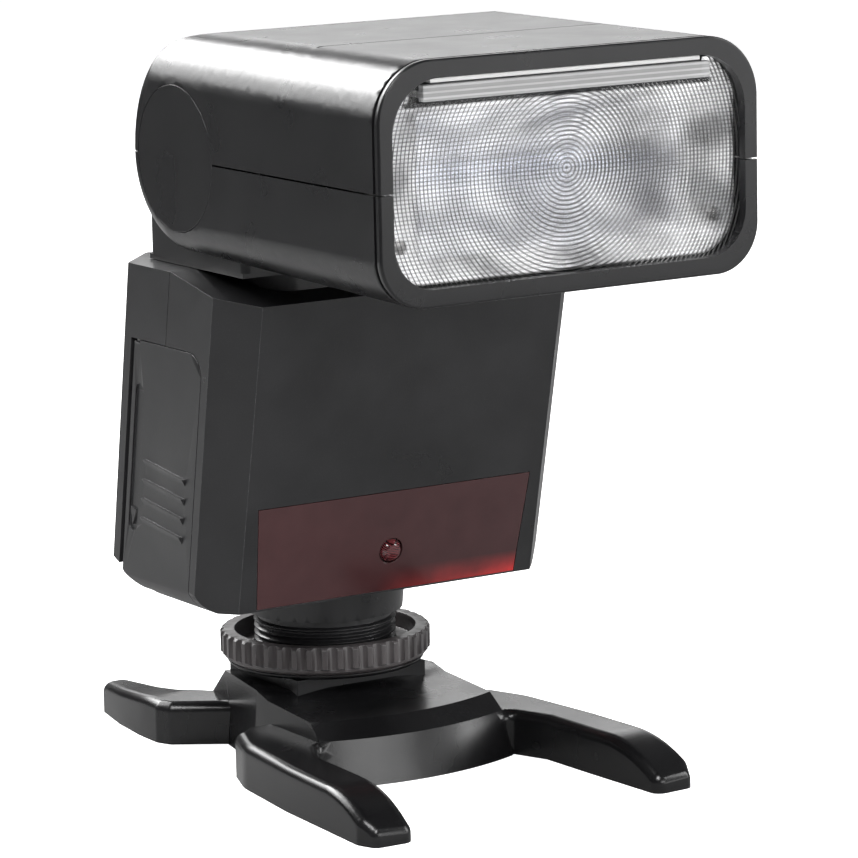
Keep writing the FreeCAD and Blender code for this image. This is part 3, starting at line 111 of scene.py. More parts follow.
def ramp(tree, factor, places, values):
    """Two-stop colour ramp; each value is a grey level or an RGB tuple."""
    node = add_node(tree, "ValToRGB", {"Fac": factor})
    for stop, place, value in zip(node.color_ramp.elements, places, values):
        colour = value if isinstance(value, tuple) else (value,) * 3
        stop.position = place
        stop.color = colour + (1,)
    return node.outputs["Color"]


def mix_colours(tree, factor, first, second, blend_type="MIX"):
    inputs = {"Fac": factor, "Color1": first, "Color2": second}
    return add_node(tree, "MixRGB", inputs, blend_type=blend_type).outputs["Color"]


def bumped(tree, height, strength, depth, **normal):
    """Normal bumped by a height pattern `depth` mm deep."""
    inputs = {"Height": height, "Strength": strength, "Distance": depth * MM, **normal}
    return add_node(tree, "Bump", inputs).outputs["Normal"]


def mix_to_surface(tree, factor, under, over):
    mix = add_node(tree, "MixShader", {0: factor, 1: under, 2: over})
    feed(tree, tree.nodes["Material Output"], {"Surface": mix.outputs["Shader"]})


# ------------------------------------------------------------------ materials
def surface(name, base, rough, vary=0.15, rough_vary=0.08, grain=0.16, bump=0.25, large=9.0,
            metallic=0.0, spec=0.5, scratch=0.0, stretch=None, painted_glint=0.0):
    """Opaque finish: broad tone and gloss changes, fine grain or brushing, faint scratches.

    `grain` and `large` are the sizes of the fine and broad patterns in mm.
    """
    material, tree, shader = new_material(name)
    position = object_coords(tree)
    grain_position = position
    if stretch:
        mapping = add_node(tree, "Mapping", {"Scale": stretch, "Vector": position})
        grain_position = mapping.outputs["Vector"]
    broad = noise(tree, position, large, detail=3.0)
    fine = noise(tree, grain_position, grain)

    darker = tuple(c * (1 - vary) for c in base)
    lighter = tuple(min(1.0, c * (1 + vary)) for c in base)
    colour = ramp(tree, broad, places=(0.35, 0.65), values=(darker, lighter))
    # Painted glints: lighter specks are added to the colour.
    if painted_glint > 0:
        glint_specks = ramp(tree, fine, places=(0.60, 0.74), values=(0, painted_glint))
        colour = mix_colours(tree, 1.0, colour, glint_specks, blend_type="ADD")
    gloss = (max(0.02, rough - rough_vary), min(1.0, rough + rough_vary))

    normal = bumped(tree, fine, strength=bump, depth=0.05)
    if scratch > 0:
        cells = add_node(tree, "TexVoronoi", {"Scale": 1.0 / (7.0 * MM), "Vector": position},
                         feature="DISTANCE_TO_EDGE")
        lines = ramp(tree, cells.outputs["Distance"], places=(0.0, 0.012), values=(0, 1))
        normal = bumped(tree, lines, strength=scratch, depth=0.01, Normal=normal)
    feed(tree, shader, {
        "Base Color": colour,
        "Roughness": ramp(tree, broad, places=(0.3, 0.7), values=gloss),
        "Normal": normal,
        "Metallic": metallic,
        "Coat Roughness": 0.12,
        "Specular IOR Level": spec,
    })
    return material


def board_material():
    """Green circuit board with a brick pattern of lighter lines."""
    material, tree, shader = new_material("circuit_board")
    position = object_coords(tree)
    bricks = add_node(tree, "TexBrick", {
        "Scale": 1.0 / (3.2 * MM),
        "Vector": position,
        "Color1": (0.015, 0.10, 0.045, 1),
        "Color2": (0.02, 0.13, 0.06, 1),
        "Mortar": (0.10, 0.28, 0.14, 1),
    })
    grain = noise(tree, position, size=0.4)
    feed(tree, shader, {
        "Base Color": bricks.outputs["Color"],
        "Normal": bumped(tree, grain, strength=0.3, depth=0.05),
        "Roughness": 0.35,
    })
    return material


def clear_material(name, tint, rough, through, ior=1.45):
    """Clear moulding: `through` is the share of the view let straight through its glossy skin."""
    material, tree, shader = new_material(name)
    position = object_coords(tree)
    broad = noise(tree, position, size=6.0, detail=3.0)
    fine = noise(tree, position, size=0.5)
    gloss = (rough * 0.7, rough * 1.4)
    feed(tree, shader, {
        "Roughness": ramp(tree, broad, places=(0.3, 0.7), values=gloss),
        "Normal": bumped(tree, fine, strength=0.036, depth=0.03),
        "Base Color": tint + (1,),
        "Transmission Weight": 1.0,
        "IOR": ior,
    })
    transparent = add_node(tree, "BsdfTransparent", {"Color": tint + (1,)})
    mix_to_surface(tree, through, shader.outputs["BSDF"], transparent.outputs["BSDF"])
    return material


def lined(material, pitch, width, tone, strength, veil, ringed=False):
    """Lays narrow lines, ringed or level, over a clear material.

    `pitch` is in mm, `width` is the lined share of the pitch, `tone` the grey of the lines (dark
    lines are painted shade of the ridges, light ones frost), `strength` its cover on the lines
    and `veil` its cover everywhere.
    """
    tree = material.node_tree
    clear = tree.nodes["Material Output"].inputs["Surface"].links[0].from_socket
    position = object_coords(tree)
    axes = add_node(tree, "SeparateXYZ", {"Vector": position}).outputs
    distance = axes["Z"]
    if ringed:
        z = calculate(tree, "SUBTRACT", axes["Z"], RING_CENTRE_Z * MM)
        x_squared = calculate(tree, "MULTIPLY", axes["X"], axes["X"])
        z_squared = calculate(tree, "MULTIPLY", z, z)
        distance = calculate(tree, "SQRT", calculate(tree, "ADD", x_squared, z_squared))
    phase = calculate(tree, "FRACT", calculate(tree, "DIVIDE", distance, pitch * MM))
    lines = calculate(tree, "LESS_THAN", phase, width)
    patches = ramp(tree, noise(tree, position, size=5.0), places=(0.25, 0.75), values=(0.65, 1.0))
    cover = calculate(tree, "MULTIPLY", calculate(tree, "MULTIPLY", lines, strength), patches)
    cover = calculate(tree, "ADD", cover, veil)
    frost = add_node(tree, "BsdfPrincipled", {
        "Base Color": (tone, tone, tone, 1),
        "Roughness": 0.35,
    })
    mix_to_surface(tree, cover, clear, frost.outputs["BSDF"])
    return material


def window_material():
    """Smoked red acrylic: near-black maroon, with a painted red glow low down and towards +X."""
    material, tree, shader = new_material("red_acrylic")
    position = object_coords(tree)
    axes = add_node(tree, "SeparateXYZ", {"Vector": position}).outputs
    cloud = noise(tree, position, size=5.0, detail=4.0)
    maroon = ramp(tree, cloud, places=(0.3, 0.7),
                  values=((0.040, 0.014, 0.015), (0.050, 0.018, 0.019)))

    def fade(value, start, end):
        """Rises from 0 to 1 between two places in mm."""
        inputs = {"From Min": start * MM, "From Max": end * MM, "Value": value}
        return add_node(tree, "MapRange", inputs).outputs["Result"]

    # Painted glow: light through the acrylic is painted as red colour and emission, strongest
    # towards the lower +X corner.
    corner = calculate(tree, "MULTIPLY", fade(axes["X"], start=-2, end=22),
                       fade(axes["Z"], start=29.4, end=26.2))
    patches = ramp(tree, cloud, places=(0.30, 0.62), values=(0.45, 1.0))
    painted_glow = calculate(tree, "MULTIPLY", corner, patches)
    painted_glow_red = (0.42, 0.02, 0.02, 1)
    painted_glow_gain = 0.40
    colour = mix_colours(tree, painted_glow, maroon, painted_glow_red)
    feed(tree, shader, {
        "Base Color": colour,
        "Emission Color": colour,
        "Emission Strength": calculate(tree, "MULTIPLY", painted_glow, painted_glow_gain),
        "Roughness": ramp(tree, cloud, places=(0.3, 0.7), values=(0.10, 0.18)),
        "Specular IOR Level": 0.55,
    })
    return material


def lamp_material():
    """Glossy dark red with wavering rings."""
    material, tree, shader = new_material("focus_lamp")
    waves = add_node(tree, "TexWave", {
        "Scale": 1.0 / (0.8 * MM),
        "Distortion": 3.0,
        "Vector": object_coords(tree),
    }, wave_type="RINGS")
    feed(tree, shader, {
        "Base Color": ramp(tree, waves.outputs["Fac"], places=(0.2, 0.9),
                           values=((0.010, 0.002, 0.003), (0.16, 0.03, 0.035))),
        "Roughness": 0.08,
        "Coat Weight": 1.0,
    })
    return material


def add_painted_glow(material, low, high, size):
    """Painted light: white emission between two strengths, in clouds of about `size` mm."""
    tree = material.node_tree
    cloud = noise(tree, object_coords(tree), size, detail=1.0)
    feed(tree, tree.nodes["Principled BSDF"], {
        "Emission Color": (1.0, 1.0, 1.0, 1),
        "Emission Strength": ramp(tree, cloud, places=(0.38, 0.60), values=(low, high)),
    })


CASE = dict(grain=0.22, bump=0.18, spec=0.46, painted_glint=0.006)
CLEAR = (0.98, 0.98, 0.985)

finishes = {
    "head": surface("head_plastic", base=(0.0075, 0.0075, 0.0083), rough=0.29, vary=0.08,
                    rough_vary=0.025, grain=0.22, bump=0.22, spec=0.46, painted_glint=0.006),
    "body": surface("body_plastic", base=(0.0135, 0.0135, 0.0145), rough=0.35, **CASE),
    "door": surface("door_plastic", base=(0.0165, 0.0165, 0.0175), rough=0.36, **CASE),
    "neck": surface("neck_plastic", base=(0.0125, 0.0125, 0.0135), rough=0.38, grain=0.22,
                    bump=0.2, spec=0.45),
    "stand": surface("stand_plastic", base=(0.006, 0.006, 0.0065), rough=0.25, grain=0.30,
                     bump=0.20, large=14, spec=0.5, rough_vary=0.05, painted_glint=0.004),
    "ring": surface("ring_plastic", base=(0.062, 0.055, 0.056), rough=0.36, grain=0.25,
                    bump=0.3, vary=0.2),
    "collar": surface("collar_plastic", base=(0.016, 0.016, 0.017), rough=0.32, grain=0.25,
                      bump=0.2),
    "key": surface("key_rubber", base=(0.045, 0.045, 0.048), rough=0.55, grain=0.3, bump=0.35),
    "dial": surface("dial_plastic", base=(0.035, 0.035, 0.038), rough=0.38, grain=0.25,
                    bump=0.25),
    "blacksteel": surface("black_coated_steel", base=(0.012, 0.012, 0.013), rough=0.32,
                          grain=0.2, bump=0.2, metallic=0.3, scratch=0.4),
    "steel": surface("plated_steel", base=(0.62, 0.61, 0.60), rough=0.30, grain=0.12, bump=0.2,
                     metallic=1.0, stretch=(1, 14, 1), scratch=0.3, vary=0.08),
    "brass": surface("turned_brass", base=(0.72, 0.52, 0.22), rough=0.28, grain=0.10, bump=0.2,
                     metallic=1.0, stretch=(1, 1, 12), vary=0.1),
    "contact": surface("plated_contact", base=(0.83, 0.74, 0.55), rough=0.25, grain=0.10,
                       bump=0.12, metallic=1.0, vary=0.06, scratch=0.3),
    "cell": surface("cell_sleeve", base=(0.05, 0.20, 0.12), rough=0.25, grain=0.4, bump=0.1,
                    vary=0.25, large=18, scratch=0.2),
    "sleeve": surface("shrink_sleeve", base=(0.02, 0.02, 0.06), rough=0.30, grain=0.4,
                      bump=0.15, vary=0.25),
    "carriage": surface("carriage_plastic", base=(0.025, 0.025, 0.027), rough=0.5, grain=0.3,
                        bump=0.3),
    "silver": surface("reflector_metal", base=(0.92, 0.92, 0.93), rough=0.15, grain=0.9,
                      bump=0.25, metallic=0.90, vary=0.05, large=4.0, rough_vary=0.10),
    "frost": surface("frosted_liner", base=(0.80, 0.80, 0.81), rough=0.28, grain=0.7, bump=0.5,
                     metallic=0.6, vary=0.09, large=5.0),
    "card": surface("white_card", base=(0.88, 0.88, 0.87), rough=0.5, grain=0.3, bump=0.15,
                    vary=0.03),
    "white": surface("print_white", base=(0.75, 0.75, 0.74), rough=0.5, grain=0.3, bump=0.1,
                     vary=0.05),
    # Painted highlight: the bevelled outside corners get a lighter, glossier finish with glint
    # specks, standing in for the light they catch.
    "edge": surface("painted_highlight_edge", base=(0.085, 0.085, 0.088), rough=0.26, grain=0.30,
                    bump=0.25, spec=0.75, vary=0.35, large=2.5, painted_glint=0.10),
    "edge_soft_highlight": surface("painted_highlight_soft_edge", base=(0.045, 0.045, 0.047), rough=0.24, grain=0.35,
                         bump=0.2, spec=0.6, vary=0.35, large=3.0, painted_glint=0.05),
    "board": board_material(),
    # The dark lines on the lens faces are painted shade of the ring and flute steps.
    "lens": lined(clear_material("lens_acrylic", tint=CLEAR, rough=0.05, through=0.45, ior=1.30),
                  pitch=RING_PITCH, width=0.40, tone=0.04, strength=0.82, veil=0.02, ringed=True),
    "flutes": lined(clear_material("lens_flute_acrylic", tint=CLEAR, rough=0.05, through=0.55,
                                   ior=1.25),
                    pitch=FLUTE_PITCH, width=0.40, tone=0.10, strength=0.50, veil=0.03),
    "panel": lined(clear_material("panel_acrylic", tint=(0.96, 0.97, 0.98), rough=0.10,
                                  through=0.35),
                   pitch=0.75, width=0.35, tone=0.55, strength=0.30, veil=0.42),
    "tube": clear_material("quartz_tube", tint=(0.96, 0.97, 1.0), rough=0.03, through=0.4),
    "display": clear_material("display_pane", tint=(0.35, 0.36, 0.36), rough=0.06, through=0.75),
    "red": window_material(),
    "lamp": lamp_material(),
    "field": surface("display_field", base=(0.20, 0.23, 0.17), rough=0.35, grain=0.3, bump=0.1,
                     vary=0.08, large=12),
    "segments": surface("display_segments", base=(0.02, 0.022, 0.02), rough=0.4, grain=0.3,
                        bump=0.1),
}

# Shadow rays lose the light that enters through the clear lens, so the bright parts
# behind it carry that light themselves as painted glow.
add_painted_glow(finishes["silver"], low=0.01, high=0.50, size=8.5)
add_painted_glow(finishes["frost"], low=0.10, high=0.62, size=9.0)


# ------------------------------------------------------------------ finishes of the CAD pieces
DEFAULT_FINISH = "body"
PIECES_OF_FINISH = {
    "head": "head_upper_shell head_lower_shell hinge_caps",
    "body": "front_case rear_case",
    "door": "battery_door",
    "neck": "neck_housing neck_base_plate",
    "stand": "stand_base",
    "ring": "lock_ring",
    "collar": "threaded_collar hot_shoe_foot",
    "blacksteel": "cold_shoe clamp_plate",
    "steel": "shoe_screws case_screws head_screws tilt_axle tilt_detent_discs pan_retainer "
             "pan_washer zoom_guide_rods zoom_screw lock_pin door_pin zoom_motor",
    "brass": "tripod_bush",
    "contact": "foot_contacts contact_springs bay_contact door_contact tube_end_caps",
    "cell": "aa_cells",
    "sleeve": "main_capacitor charging_transformer trigger_coil",
    "board": "main_board key_board trigger_board",
    "carriage": "display_module zoom_carriage panel_tray",
    "display": "display_window",
    "tube": "flash_tube",
    "lamp": "focus_lamp",
    "red": "red_window",
    "silver": "reflector",
    "panel": "wide_panel",
    "card": "catchlight_card",
    "lens": "fresnel_lens",
    "dial": "side_sockets select_dial",
    "key": "key_1 key_2 key_3 key_4 test_key set_key power_slider",
}
FINISH_OF = {piece: finish for finish, names in PIECES_OF_FINISH.items()
             for piece in names.split()}

# Painted-highlight finish of the bevelled edges, by finish of the piece
EDGE_FINISH_OF = {
    "head": "edge_soft_highlight", "body": "edge", "door": "edge", "neck": "edge_soft_highlight",
    "stand": "edge_soft_highlight", "ring": "edge", "collar": "edge_soft_highlight", "dial": "edge",
    "key": "edge_soft_highlight",
}

# Bevel widths in mm
DEFAULT_EDGE = 0.08
EDGE_WIDTHS = {
    "stand_base": 0.55, "head_upper_shell": 0.20, "head_lower_shell": 0.20,
    "front_case": 0.22, "rear_case": 0.22, "battery_door": 0.20, "neck_housing": 0.22,
    "lock_ring": 0.10, "threaded_collar": 0.08, "hinge_caps": 0.14, "red_window": 0.10,
    "select_dial": 0.12,
}


def dress(name, piece):
    """Gives a CAD piece its finish, smooth shading and bevelled edges."""
    finish = FINISH_OF.get(name, DEFAULT_FINISH)
    has_edge_finish = finish in EDGE_FINISH_OF
    piece.data.materials.clear()
    piece.data.materials.append(finishes[finish])
    if has_edge_finish:
        piece.data.materials.append(finishes[EDGE_FINISH_OF[finish]])
    for face in piece.data.polygons:
        face.use_smooth = True

    weld = piece.modifiers.new("weld", "WELD")
    weld.merge_threshold = 0.002 * MM

    bevel = piece.modifiers.new("edge", "BEVEL")
    bevel.width = EDGE_WIDTHS.get(name, DEFAULT_EDGE) * MM
    bevel.segments = 2
    bevel.limit_method = "ANGLE"
    bevel.angle_limit = math.radians(32)
    bevel.harden_normals = True
    bevel.use_clamp_overlap = True
    # The bevel faces take the lighter edge finish: a painted highlight on the outside corners.
    if has_edge_finish:
        bevel.material = 1

    normals = piece.modifiers.new("normals", "WEIGHTED_NORMAL")
    normals.mode = "FACE_AREA"
    normals.weight = 60
    normals.keep_sharp = True


for piece_name, piece in pieces.items():
    dress(piece_name, piece)


# ------------------------------------------------------------------ mesh helpers
def mm(x, y, z):
    return (x * MM, y * MM, z * MM)


def link_object(name, data):
    made = bpy.data.objects.new(name, data)
    bpy.context.scene.collection.objects.link(made)
    return made


def mesh_object(name, verts, faces, material):
    mesh = bpy.data.meshes.new(name)
    mesh.from_pydata(verts, [], faces)
    mesh.update()
    mesh.materials.append(material)
    return link_object(name, mesh)


def grid_faces(rows, width, start=0, closed=False):
    """Quads over rows of `width` points; closed rows join their last point to their first."""
    faces = []
    for row in range(rows - 1):
        low = start + row * width
        high = low + width
        for i in range(width if closed else width - 1):
            j = (i + 1) % width
            faces.append((low + i, low + j, high + j, high + i))
    return faces


def rounded_rect(half, low, top, low_radius, top_radius, steps=8):
    """Outline in X and Z, anticlockwise seen from the front, from the lower +X corner."""
    # corner centre x, z, radius, start angle in degrees
    corners = (
        (half - low_radius, low + low_radius, low_radius, -90),
        (half - top_radius, top - top_radius, top_radius, 0),
        (-half + top_radius, top - top_radius, top_radius, 90),
        (-half + low_radius, low + low_radius, low_radius, 180),
    )
    points = []
    for x, z, radius, start in corners:
        for i in range(steps + 1):
            angle = math.radians(start + 90.0 * i / steps)
            points.append((x + radius * math.cos(angle), z + radius * math.sin(angle)))
    return points


def thicken(sheet):
    solidify = sheet.modifiers.new("thick", "SOLIDIFY")
    solidify.thickness = 0.25 * MM
    solidify.offset = 1.0


# ------------------------------------------------------------------ lens
RING_Y = -66.85 + 0.16     # valleys of the front rings
RING_DEPTH = 0.14
RING_REACH = 34.0          # past the corners of the outline
RING_SEGMENTS = 150
RING_CREST, RING_VALLEY = 0.16, 0.98    # places within a pitch

FLUTE_Y = -65.45
FLUTE_DEPTH = 0.10
FLUTE_COLUMNS = 40
FLUTE_HALF = 29.0          # half width of the fluted face
FLUTE_LIMIT = 40           # past the sides of the lens
FLUTE_NOTCH_HALF = 23.9
FLUTE_LOW, FLUTE_NOTCH_Z, FLUTE_TOP = 79.2, 103.4, 106.4


def add_rings(bm):
    """Round sheet with a saw-tooth profile and a flat middle."""
    profile = []
    radius = 0.0
    crest_y = RING_Y
    while radius < RING_REACH:
        profile.append((radius + RING_PITCH * RING_CREST, crest_y))
        profile.append((radius + RING_PITCH * RING_VALLEY, RING_Y))
        radius += RING_PITCH
        crest_y = RING_Y - RING_DEPTH
    centre = bm.verts.new(mm(0, RING_Y, RING_CENTRE_Z))
    previous = None
    for radius, y in profile:
        ring = []
        for i in range(RING_SEGMENTS):
            angle = 2 * math.pi * i / RING_SEGMENTS
            ring.append(bm.verts.new(mm(radius * math.cos(angle), y,
                                        RING_CENTRE_Z + radius * math.sin(angle))))
        for i in range(RING_SEGMENTS):
            j = (i + 1) % RING_SEGMENTS
            if previous is None:
                bm.faces.new((centre, ring[i], ring[j]))
            else:
                bm.faces.new((previous[i], ring[i], ring[j], previous[j]))
        previous = ring


def slice_sheet(bm, x, z, normal_x, normal_z, clear_outer):
    bmesh.ops.bisect_plane(bm, geom=bm.verts[:] + bm.edges[:] + bm.faces[:],
                           plane_co=mm(x, 0, z), plane_no=(normal_x, 0, normal_z),
                           clear_outer=clear_outer, dist=1e-7)


def build_lens_prisms():
    """Front face: concentric prisms trimmed to the notched outline."""
    bm = bmesh.new()
    add_rings(bm)
    for x, z, normal_x, normal_z in ((0, NOTCH_Z, 0, 1), (NOTCH_HALF, 0, 1, 0),
                                     (-NOTCH_HALF, 0, -1, 0)):
        slice_sheet(bm, x, z, normal_x, normal_z, clear_outer=False)
    in_notch = []
    for face in bm.faces:
        centre = face.calc_center_median()
        if abs(centre.x) < NOTCH_HALF * MM and centre.z > NOTCH_Z * MM:
            in_notch.append(face)
    bmesh.ops.delete(bm, geom=in_notch, context="FACES")

    outline = rounded_rect(LENS_HALF, LENS_LOW, LENS_TOP, LENS_LOW_RADIUS, LENS_TOP_RADIUS)
    for (x0, z0), (x1, z1) in zip(outline, outline[1:] + outline[:1]):
        slice_sheet(bm, x0, z0, z1 - z0, -(x1 - x0), clear_outer=True)
    mesh = bpy.data.meshes.new("lens_front")
    bm.to_mesh(mesh)
    bm.free()
    mesh.materials.append(finishes["lens"])
    prisms = link_object("lens_prisms", mesh)
    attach(prisms, "head")
    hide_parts("fresnel_lens")


def half_width_at(z):
    """Half width of the fluted face at a height, following the lens corners."""
    if z < LENS_LOW + LENS_LOW_RADIUS:
        radius = LENS_LOW_RADIUS
        rise = LENS_LOW + radius - z
    elif z > LENS_TOP - LENS_TOP_RADIUS:
        radius = LENS_TOP_RADIUS
        rise = z - LENS_TOP + radius
    else:
        return FLUTE_HALF
    return FLUTE_HALF - radius + math.sqrt(max(0.0, radius ** 2 - rise ** 2))


def build_lens_flutes():
    """Back face: level flutes in a full-width field and a short field each side of the notch."""
    # low z, top z, -X limit, +X limit
    fields = (
        (FLUTE_LOW, FLUTE_NOTCH_Z, -FLUTE_LIMIT, FLUTE_LIMIT),
        (FLUTE_NOTCH_Z, FLUTE_TOP, -FLUTE_LIMIT, -FLUTE_NOTCH_HALF),
        (FLUTE_NOTCH_Z, FLUTE_TOP, FLUTE_NOTCH_HALF, FLUTE_LIMIT),
    )
    step = FLUTE_PITCH / 2.0
    verts, faces = [], []
    for low, top, left_limit, right_limit in fields:
        rows = int((top - low) / step) + 1
        faces += grid_faces(rows, FLUTE_COLUMNS + 1, start=len(verts))
        for i in range(rows):
            z = low + i * step
            y = FLUTE_Y - (FLUTE_DEPTH if i % 2 else 0.0)
            half = half_width_at(z)
            left, right = max(-half, left_limit), min(half, right_limit)
            for j in range(FLUTE_COLUMNS + 1):
                verts.append(mm(left + (right - left) * j / FLUTE_COLUMNS, y, z))
    flutes = mesh_object("lens_flutes", verts, faces, finishes["flutes"])
    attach(flutes, "head")


build_lens_prisms()
build_lens_flutes()


# ------------------------------------------------------------------ liner behind the lens
LINER_STEP = 0.25    # height of the steps in the liner's skin


def build_liner():
    """Shallow stepped funnel from the lens back to the reflector's mouth."""
    front_y, depth, levels = -65.1, 3.4, 9
    outer = rounded_rect(half=28.6, low=79.2, top=103.2, low_radius=6.2, top_radius=1.5)
    inner = rounded_rect(half=22.2, low=82.1, top=101.9, low_radius=0.5, top_radius=0.5)
    verts = []
    for k in range(levels + 1):
        t = k / levels
        y = front_y + t * depth + (LINER_STEP if k % 2 else 0.0)
        for (x0, z0), (x1, z1) in zip(outer, inner):
            verts.append(mm(x0 + (x1 - x0) * t, y, z0 + (z1 - z0) * t))
    faces = grid_faces(levels + 1, len(outer), closed=True)
    liner = mesh_object("reflector_liner", verts, faces, finishes["frost"])
    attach(liner, "head")
    thicken(liner)


def build_liner_cheek(name, side):
    """Small sheet that closes the liner's upper corner on one side (-1 or 1 along X)."""
    inner_x, margin, y = 24.1, 0.2, -64.9
    low, height = 103.1, 3.3
    rows, columns = 6, 4
    verts = []
    for j in range(rows + 1):
        z = low + height * j / rows
        outer_x = half_width_at(z) - margin
        for k in range(columns + 1):
            x = inner_x + (outer_x - inner_x) * k / columns
            verts.append(mm(side * x, y + (LINER_STEP if (j + k) % 2 else 0.0), z))
    cheek = mesh_object(name, verts, grid_faces(rows + 1, columns + 1), finishes["frost"])
    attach(cheek, "head")
    thicken(cheek)


build_liner()
build_liner_cheek("liner_cheek_left", side=-1)
build_liner_cheek("liner_cheek_right", side=1)


# ------------------------------------------------------------------ trigger wire
def build_trigger_wire():
    """Wire wound around the flash tube, along X."""
    half_length, coil_radius, turns, steps = 19.5, 1.85, 7, 240
    axis_y, axis_z = -49.8, 92.0
    curve = bpy.data.curves.new("trigger_wire", "CURVE")
    curve.dimensions = "3D"
    curve.bevel_depth = 0.11 * MM
    curve.bevel_resolution = 3
    curve.use_fill_caps = True
    spline = curve.splines.new("POLY")
    spline.points.add(steps)
    for i, point in enumerate(spline.points):
        t = i / steps
        angle = t * math.pi * (2 * turns)
        point.co = mm(-half_length + 2 * half_length * t,
                      axis_y + coil_radius * math.cos(angle),
                      axis_z + coil_radius * math.sin(angle)) + (1,)
    curve.materials.append(finishes["steel"])
    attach(link_object("trigger_wire", curve), "zoom_carriage")


build_trigger_wire()


# ------------------------------------------------------------------ display and marks
# The rear face leans: its own axes are X, `out` (away from the case) and `rise` (up the face).
LEAN = math.radians(11.3)
FACE_ORIGIN = Vector((0, 0, 50.0))
FACE_OUT = Vector((0, math.cos(LEAN), math.sin(LEAN)))
FACE_RISE = Vector((0, -math.sin(LEAN), math.cos(LEAN)))


def on_face(x, out, rise):
    return tuple((FACE_ORIGIN + Vector((x, 0, 0)) + FACE_OUT * out + FACE_RISE * rise) * MM)


def build_plates(name, plates, out, thick, material):
    """Thin boxes on the rear face; each plate is x0, x1, rise0, rise1."""
    verts, faces = [], []
    for x0, x1, low, top in plates:
        k = len(verts)
        for level in (out, out + thick):
            verts += [on_face(x0, level, low), on_face(x1, level, low),
                      on_face(x1, level, top), on_face(x0, level, top)]
        faces += [(k, k + 1, k + 2, k + 3), (k + 7, k + 6, k + 5, k + 4),
                  (k, k + 4, k + 5, k + 1), (k + 1, k + 5, k + 6, k + 2),
                  (k + 2, k + 6, k + 7, k + 3), (k + 3, k + 7, k + 4, k)]
    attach(mesh_object(name, verts, faces, material), "flash_body")


def display_segments():
    """A row of growing bars, four digits of plain strokes and a dash."""
    plates = [(-14.2 + i * 1.5, -13.3 + i * 1.5, 7.6, 8.4 + 0.12 * i) for i in range(19)]
    for x in (-12.5, -7.5, 4.0, 9.5):
        plates += [(x, x + 3.0, low, low + 0.5) for low in (18.4, 14.9, 11.4)]
        plates += [(x + left, x + left + 0.5, 11.9, 18.4) for left in (-0.1, 2.6)]
    plates.append((-2.4, 1.4, 14.9, 15.4))
    return plates


build_plates("display_field", [(-15.4, 15.4, 6.6, 20.6)], out=13.02, thick=0.06,
             material=finishes["field"])
build_plates("display_segments", display_segments(), out=13.09, thick=0.04,
             material=finishes["segments"])
# Two small index marks, one each side of the power slider
build_plates("slider_marks", [(-16.6, -16.2, -14.9, -13.5), (-5.6, -5.2, -14.9, -13.5)],
             out=13.99, thick=0.03, material=finishes["white"])


# ------------------------------------------------------------------ stage (metres)
def floor_material():
    """Near-white floor that looks darker in reflections, most of all far from the flash."""
    material, tree, shader = new_material("floor")
    position = object_coords(tree)
    cloud = add_node(tree, "TexNoise", {"Scale": 3.0, "Vector": position}).outputs["Fac"]
    white = ramp(tree, cloud, places=(0.3, 0.7), values=(0.90, 0.93))
    rays = add_node(tree, "LightPath", {}).outputs
    axes = add_node(tree, "SeparateXYZ", {"Vector": position}).outputs
    level = add_node(tree, "CombineXYZ", {"X": axes["X"], "Y": axes["Y"]})
    reach = add_node(tree, "VectorMath", {0: level.outputs["Vector"]}, operation="LENGTH")
    reflected = ramp(tree, reach.outputs["Value"], places=(0.34, 0.50), values=(0.36, 0.03))
    camera_glow, other_glow = 0.80, 0.02
    feed(tree, shader, {
        "Base Color": mix_colours(tree, rays["Is Glossy Ray"], white, reflected),
        "Roughness": 0.75,
        "Specular IOR Level": 0.1,
        "Emission Color": (1, 1, 1, 1),
        "Emission Strength": calculate(tree, "MULTIPLY_ADD", rays["Is Camera Ray"],
                                       camera_glow, other_glow),
    })
    return material


def build_floor():
    """Floor that curves up into a wall behind the flash."""
    half, wall_top, curve_radius, curve_start, steps = 3.0, 1.6, 0.5, 1.1, 12
    profile = [(-half, 0.0)]
    for i in range(steps + 1):
        angle = math.pi / 2 * i / steps
        profile.append((curve_start + curve_radius * math.sin(angle),
                        curve_radius - curve_radius * math.cos(angle)))
    profile.append((curve_start + curve_radius, wall_top))
    verts = [(x, y, z) for y, z in profile for x in (-half, half)]
    floor = mesh_object("floor", verts, grid_faces(len(profile), 2), floor_material())
    for face in floor.data.polygons:
        face.use_smooth = True


def build_world():
    """White to the camera, dim grey as a source of light."""
    world = bpy.data.worlds.new("studio")
    bpy.context.scene.world = world
    world.use_nodes = True
    tree = world.node_tree
    rays = add_node(tree, "LightPath", {}).outputs
    dim, white = (0.12, 0.12, 0.123, 1), (1.0, 1.0, 1.0, 1)
    feed(tree, tree.nodes["Background"], {
        "Color": mix_colours(tree, rays["Is Camera Ray"], dim, white),
        "Strength": 1.0,
    })


MIDDLE = (0, -0.02, 0.07)

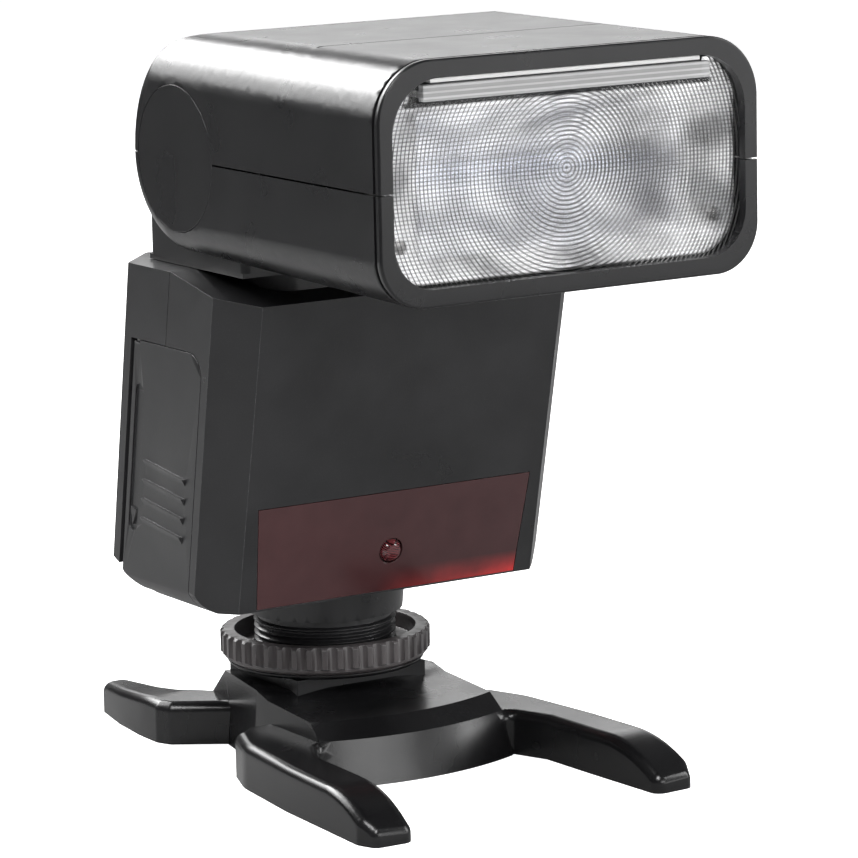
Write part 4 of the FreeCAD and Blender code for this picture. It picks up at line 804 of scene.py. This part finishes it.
# name, place, aimed at, width, height, watts
LIGHTS = (
    ("key_soft", (-0.38, -0.42, 0.78), MIDDLE, 0.40, 0.40, 6.5),
    ("top_card", (-0.14, 0.27, 0.27), (-0.05, -0.02, 0.11), 0.34, 0.24, 1.45),
    ("back_high", (-0.13, 0.62, 0.47), (-0.03, 0, 0.10), 0.50, 0.16, 3.2),
    ("side_card", (-0.34, 0.50, 0.03), (-0.03, 0, 0.06), 0.30, 0.05, 0.012),
    ("face_card", (0.36, -0.58, 0.05), (0.0, -0.05, 0.07), 0.30, 0.12, 0.30),
    ("right_strip", (0.55, -0.40, 0.30), MIDDLE, 0.16, 0.50, 2.2),
    ("front_low", (0.10, -0.80, 0.26), MIDDLE, 0.50, 0.22, 1.6),
    ("back_fill", (0.46, 0.77, 0.33), MIDDLE, 0.66, 0.22, 1.15),
)


def build_light(name, place, target, width, height, power):
    light = bpy.data.lights.new(name, "AREA")
    light.shape = "RECTANGLE"
    light.size = width
    light.size_y = height
    light.energy = power
    lamp = link_object(name, light)
    lamp.location = place
    aim = Vector(target) - Vector(place)
    lamp.rotation_euler = aim.to_track_quat("-Z", "Y").to_euler()
    lamp.visible_camera = False


def build_camera():
    """Camera on the -X side of the front, a little above the flash."""
    azimuth, elevation, roll = (math.radians(a) for a in (-32.36, 10.43, -1.19))
    target, distance = Vector((0.01932, 0, 0.04532)), 0.67916
    back = Vector((math.sin(azimuth) * math.cos(elevation),
                   -math.cos(azimuth) * math.cos(elevation),
                   math.sin(elevation)))
    forward = -back
    right = forward.cross(Vector((0, 0, 1))).normalized()
    up = right.cross(forward)
    rolled_right = right * math.cos(roll) + up * math.sin(roll)
    rolled_up = up * math.cos(roll) - right * math.sin(roll)

    data = bpy.data.cameras.new("camera")
    data.sensor_width = 36.0
    data.sensor_fit = "HORIZONTAL"
    data.lens = 187.366993
    data.clip_start = 0.01
    data.clip_end = 20
    camera = link_object("camera", data)
    pose = Matrix((rolled_right, rolled_up, back)).transposed().to_4x4()
    pose.translation = target + back * distance
    camera.matrix_world = pose
    bpy.context.scene.camera = camera


build_floor()
build_world()
for light_row in LIGHTS:
    build_light(*light_row)
build_camera()

view = bpy.context.scene.view_settings
view.view_transform = "Standard"
view.look = "None"
view.exposure = 0.0
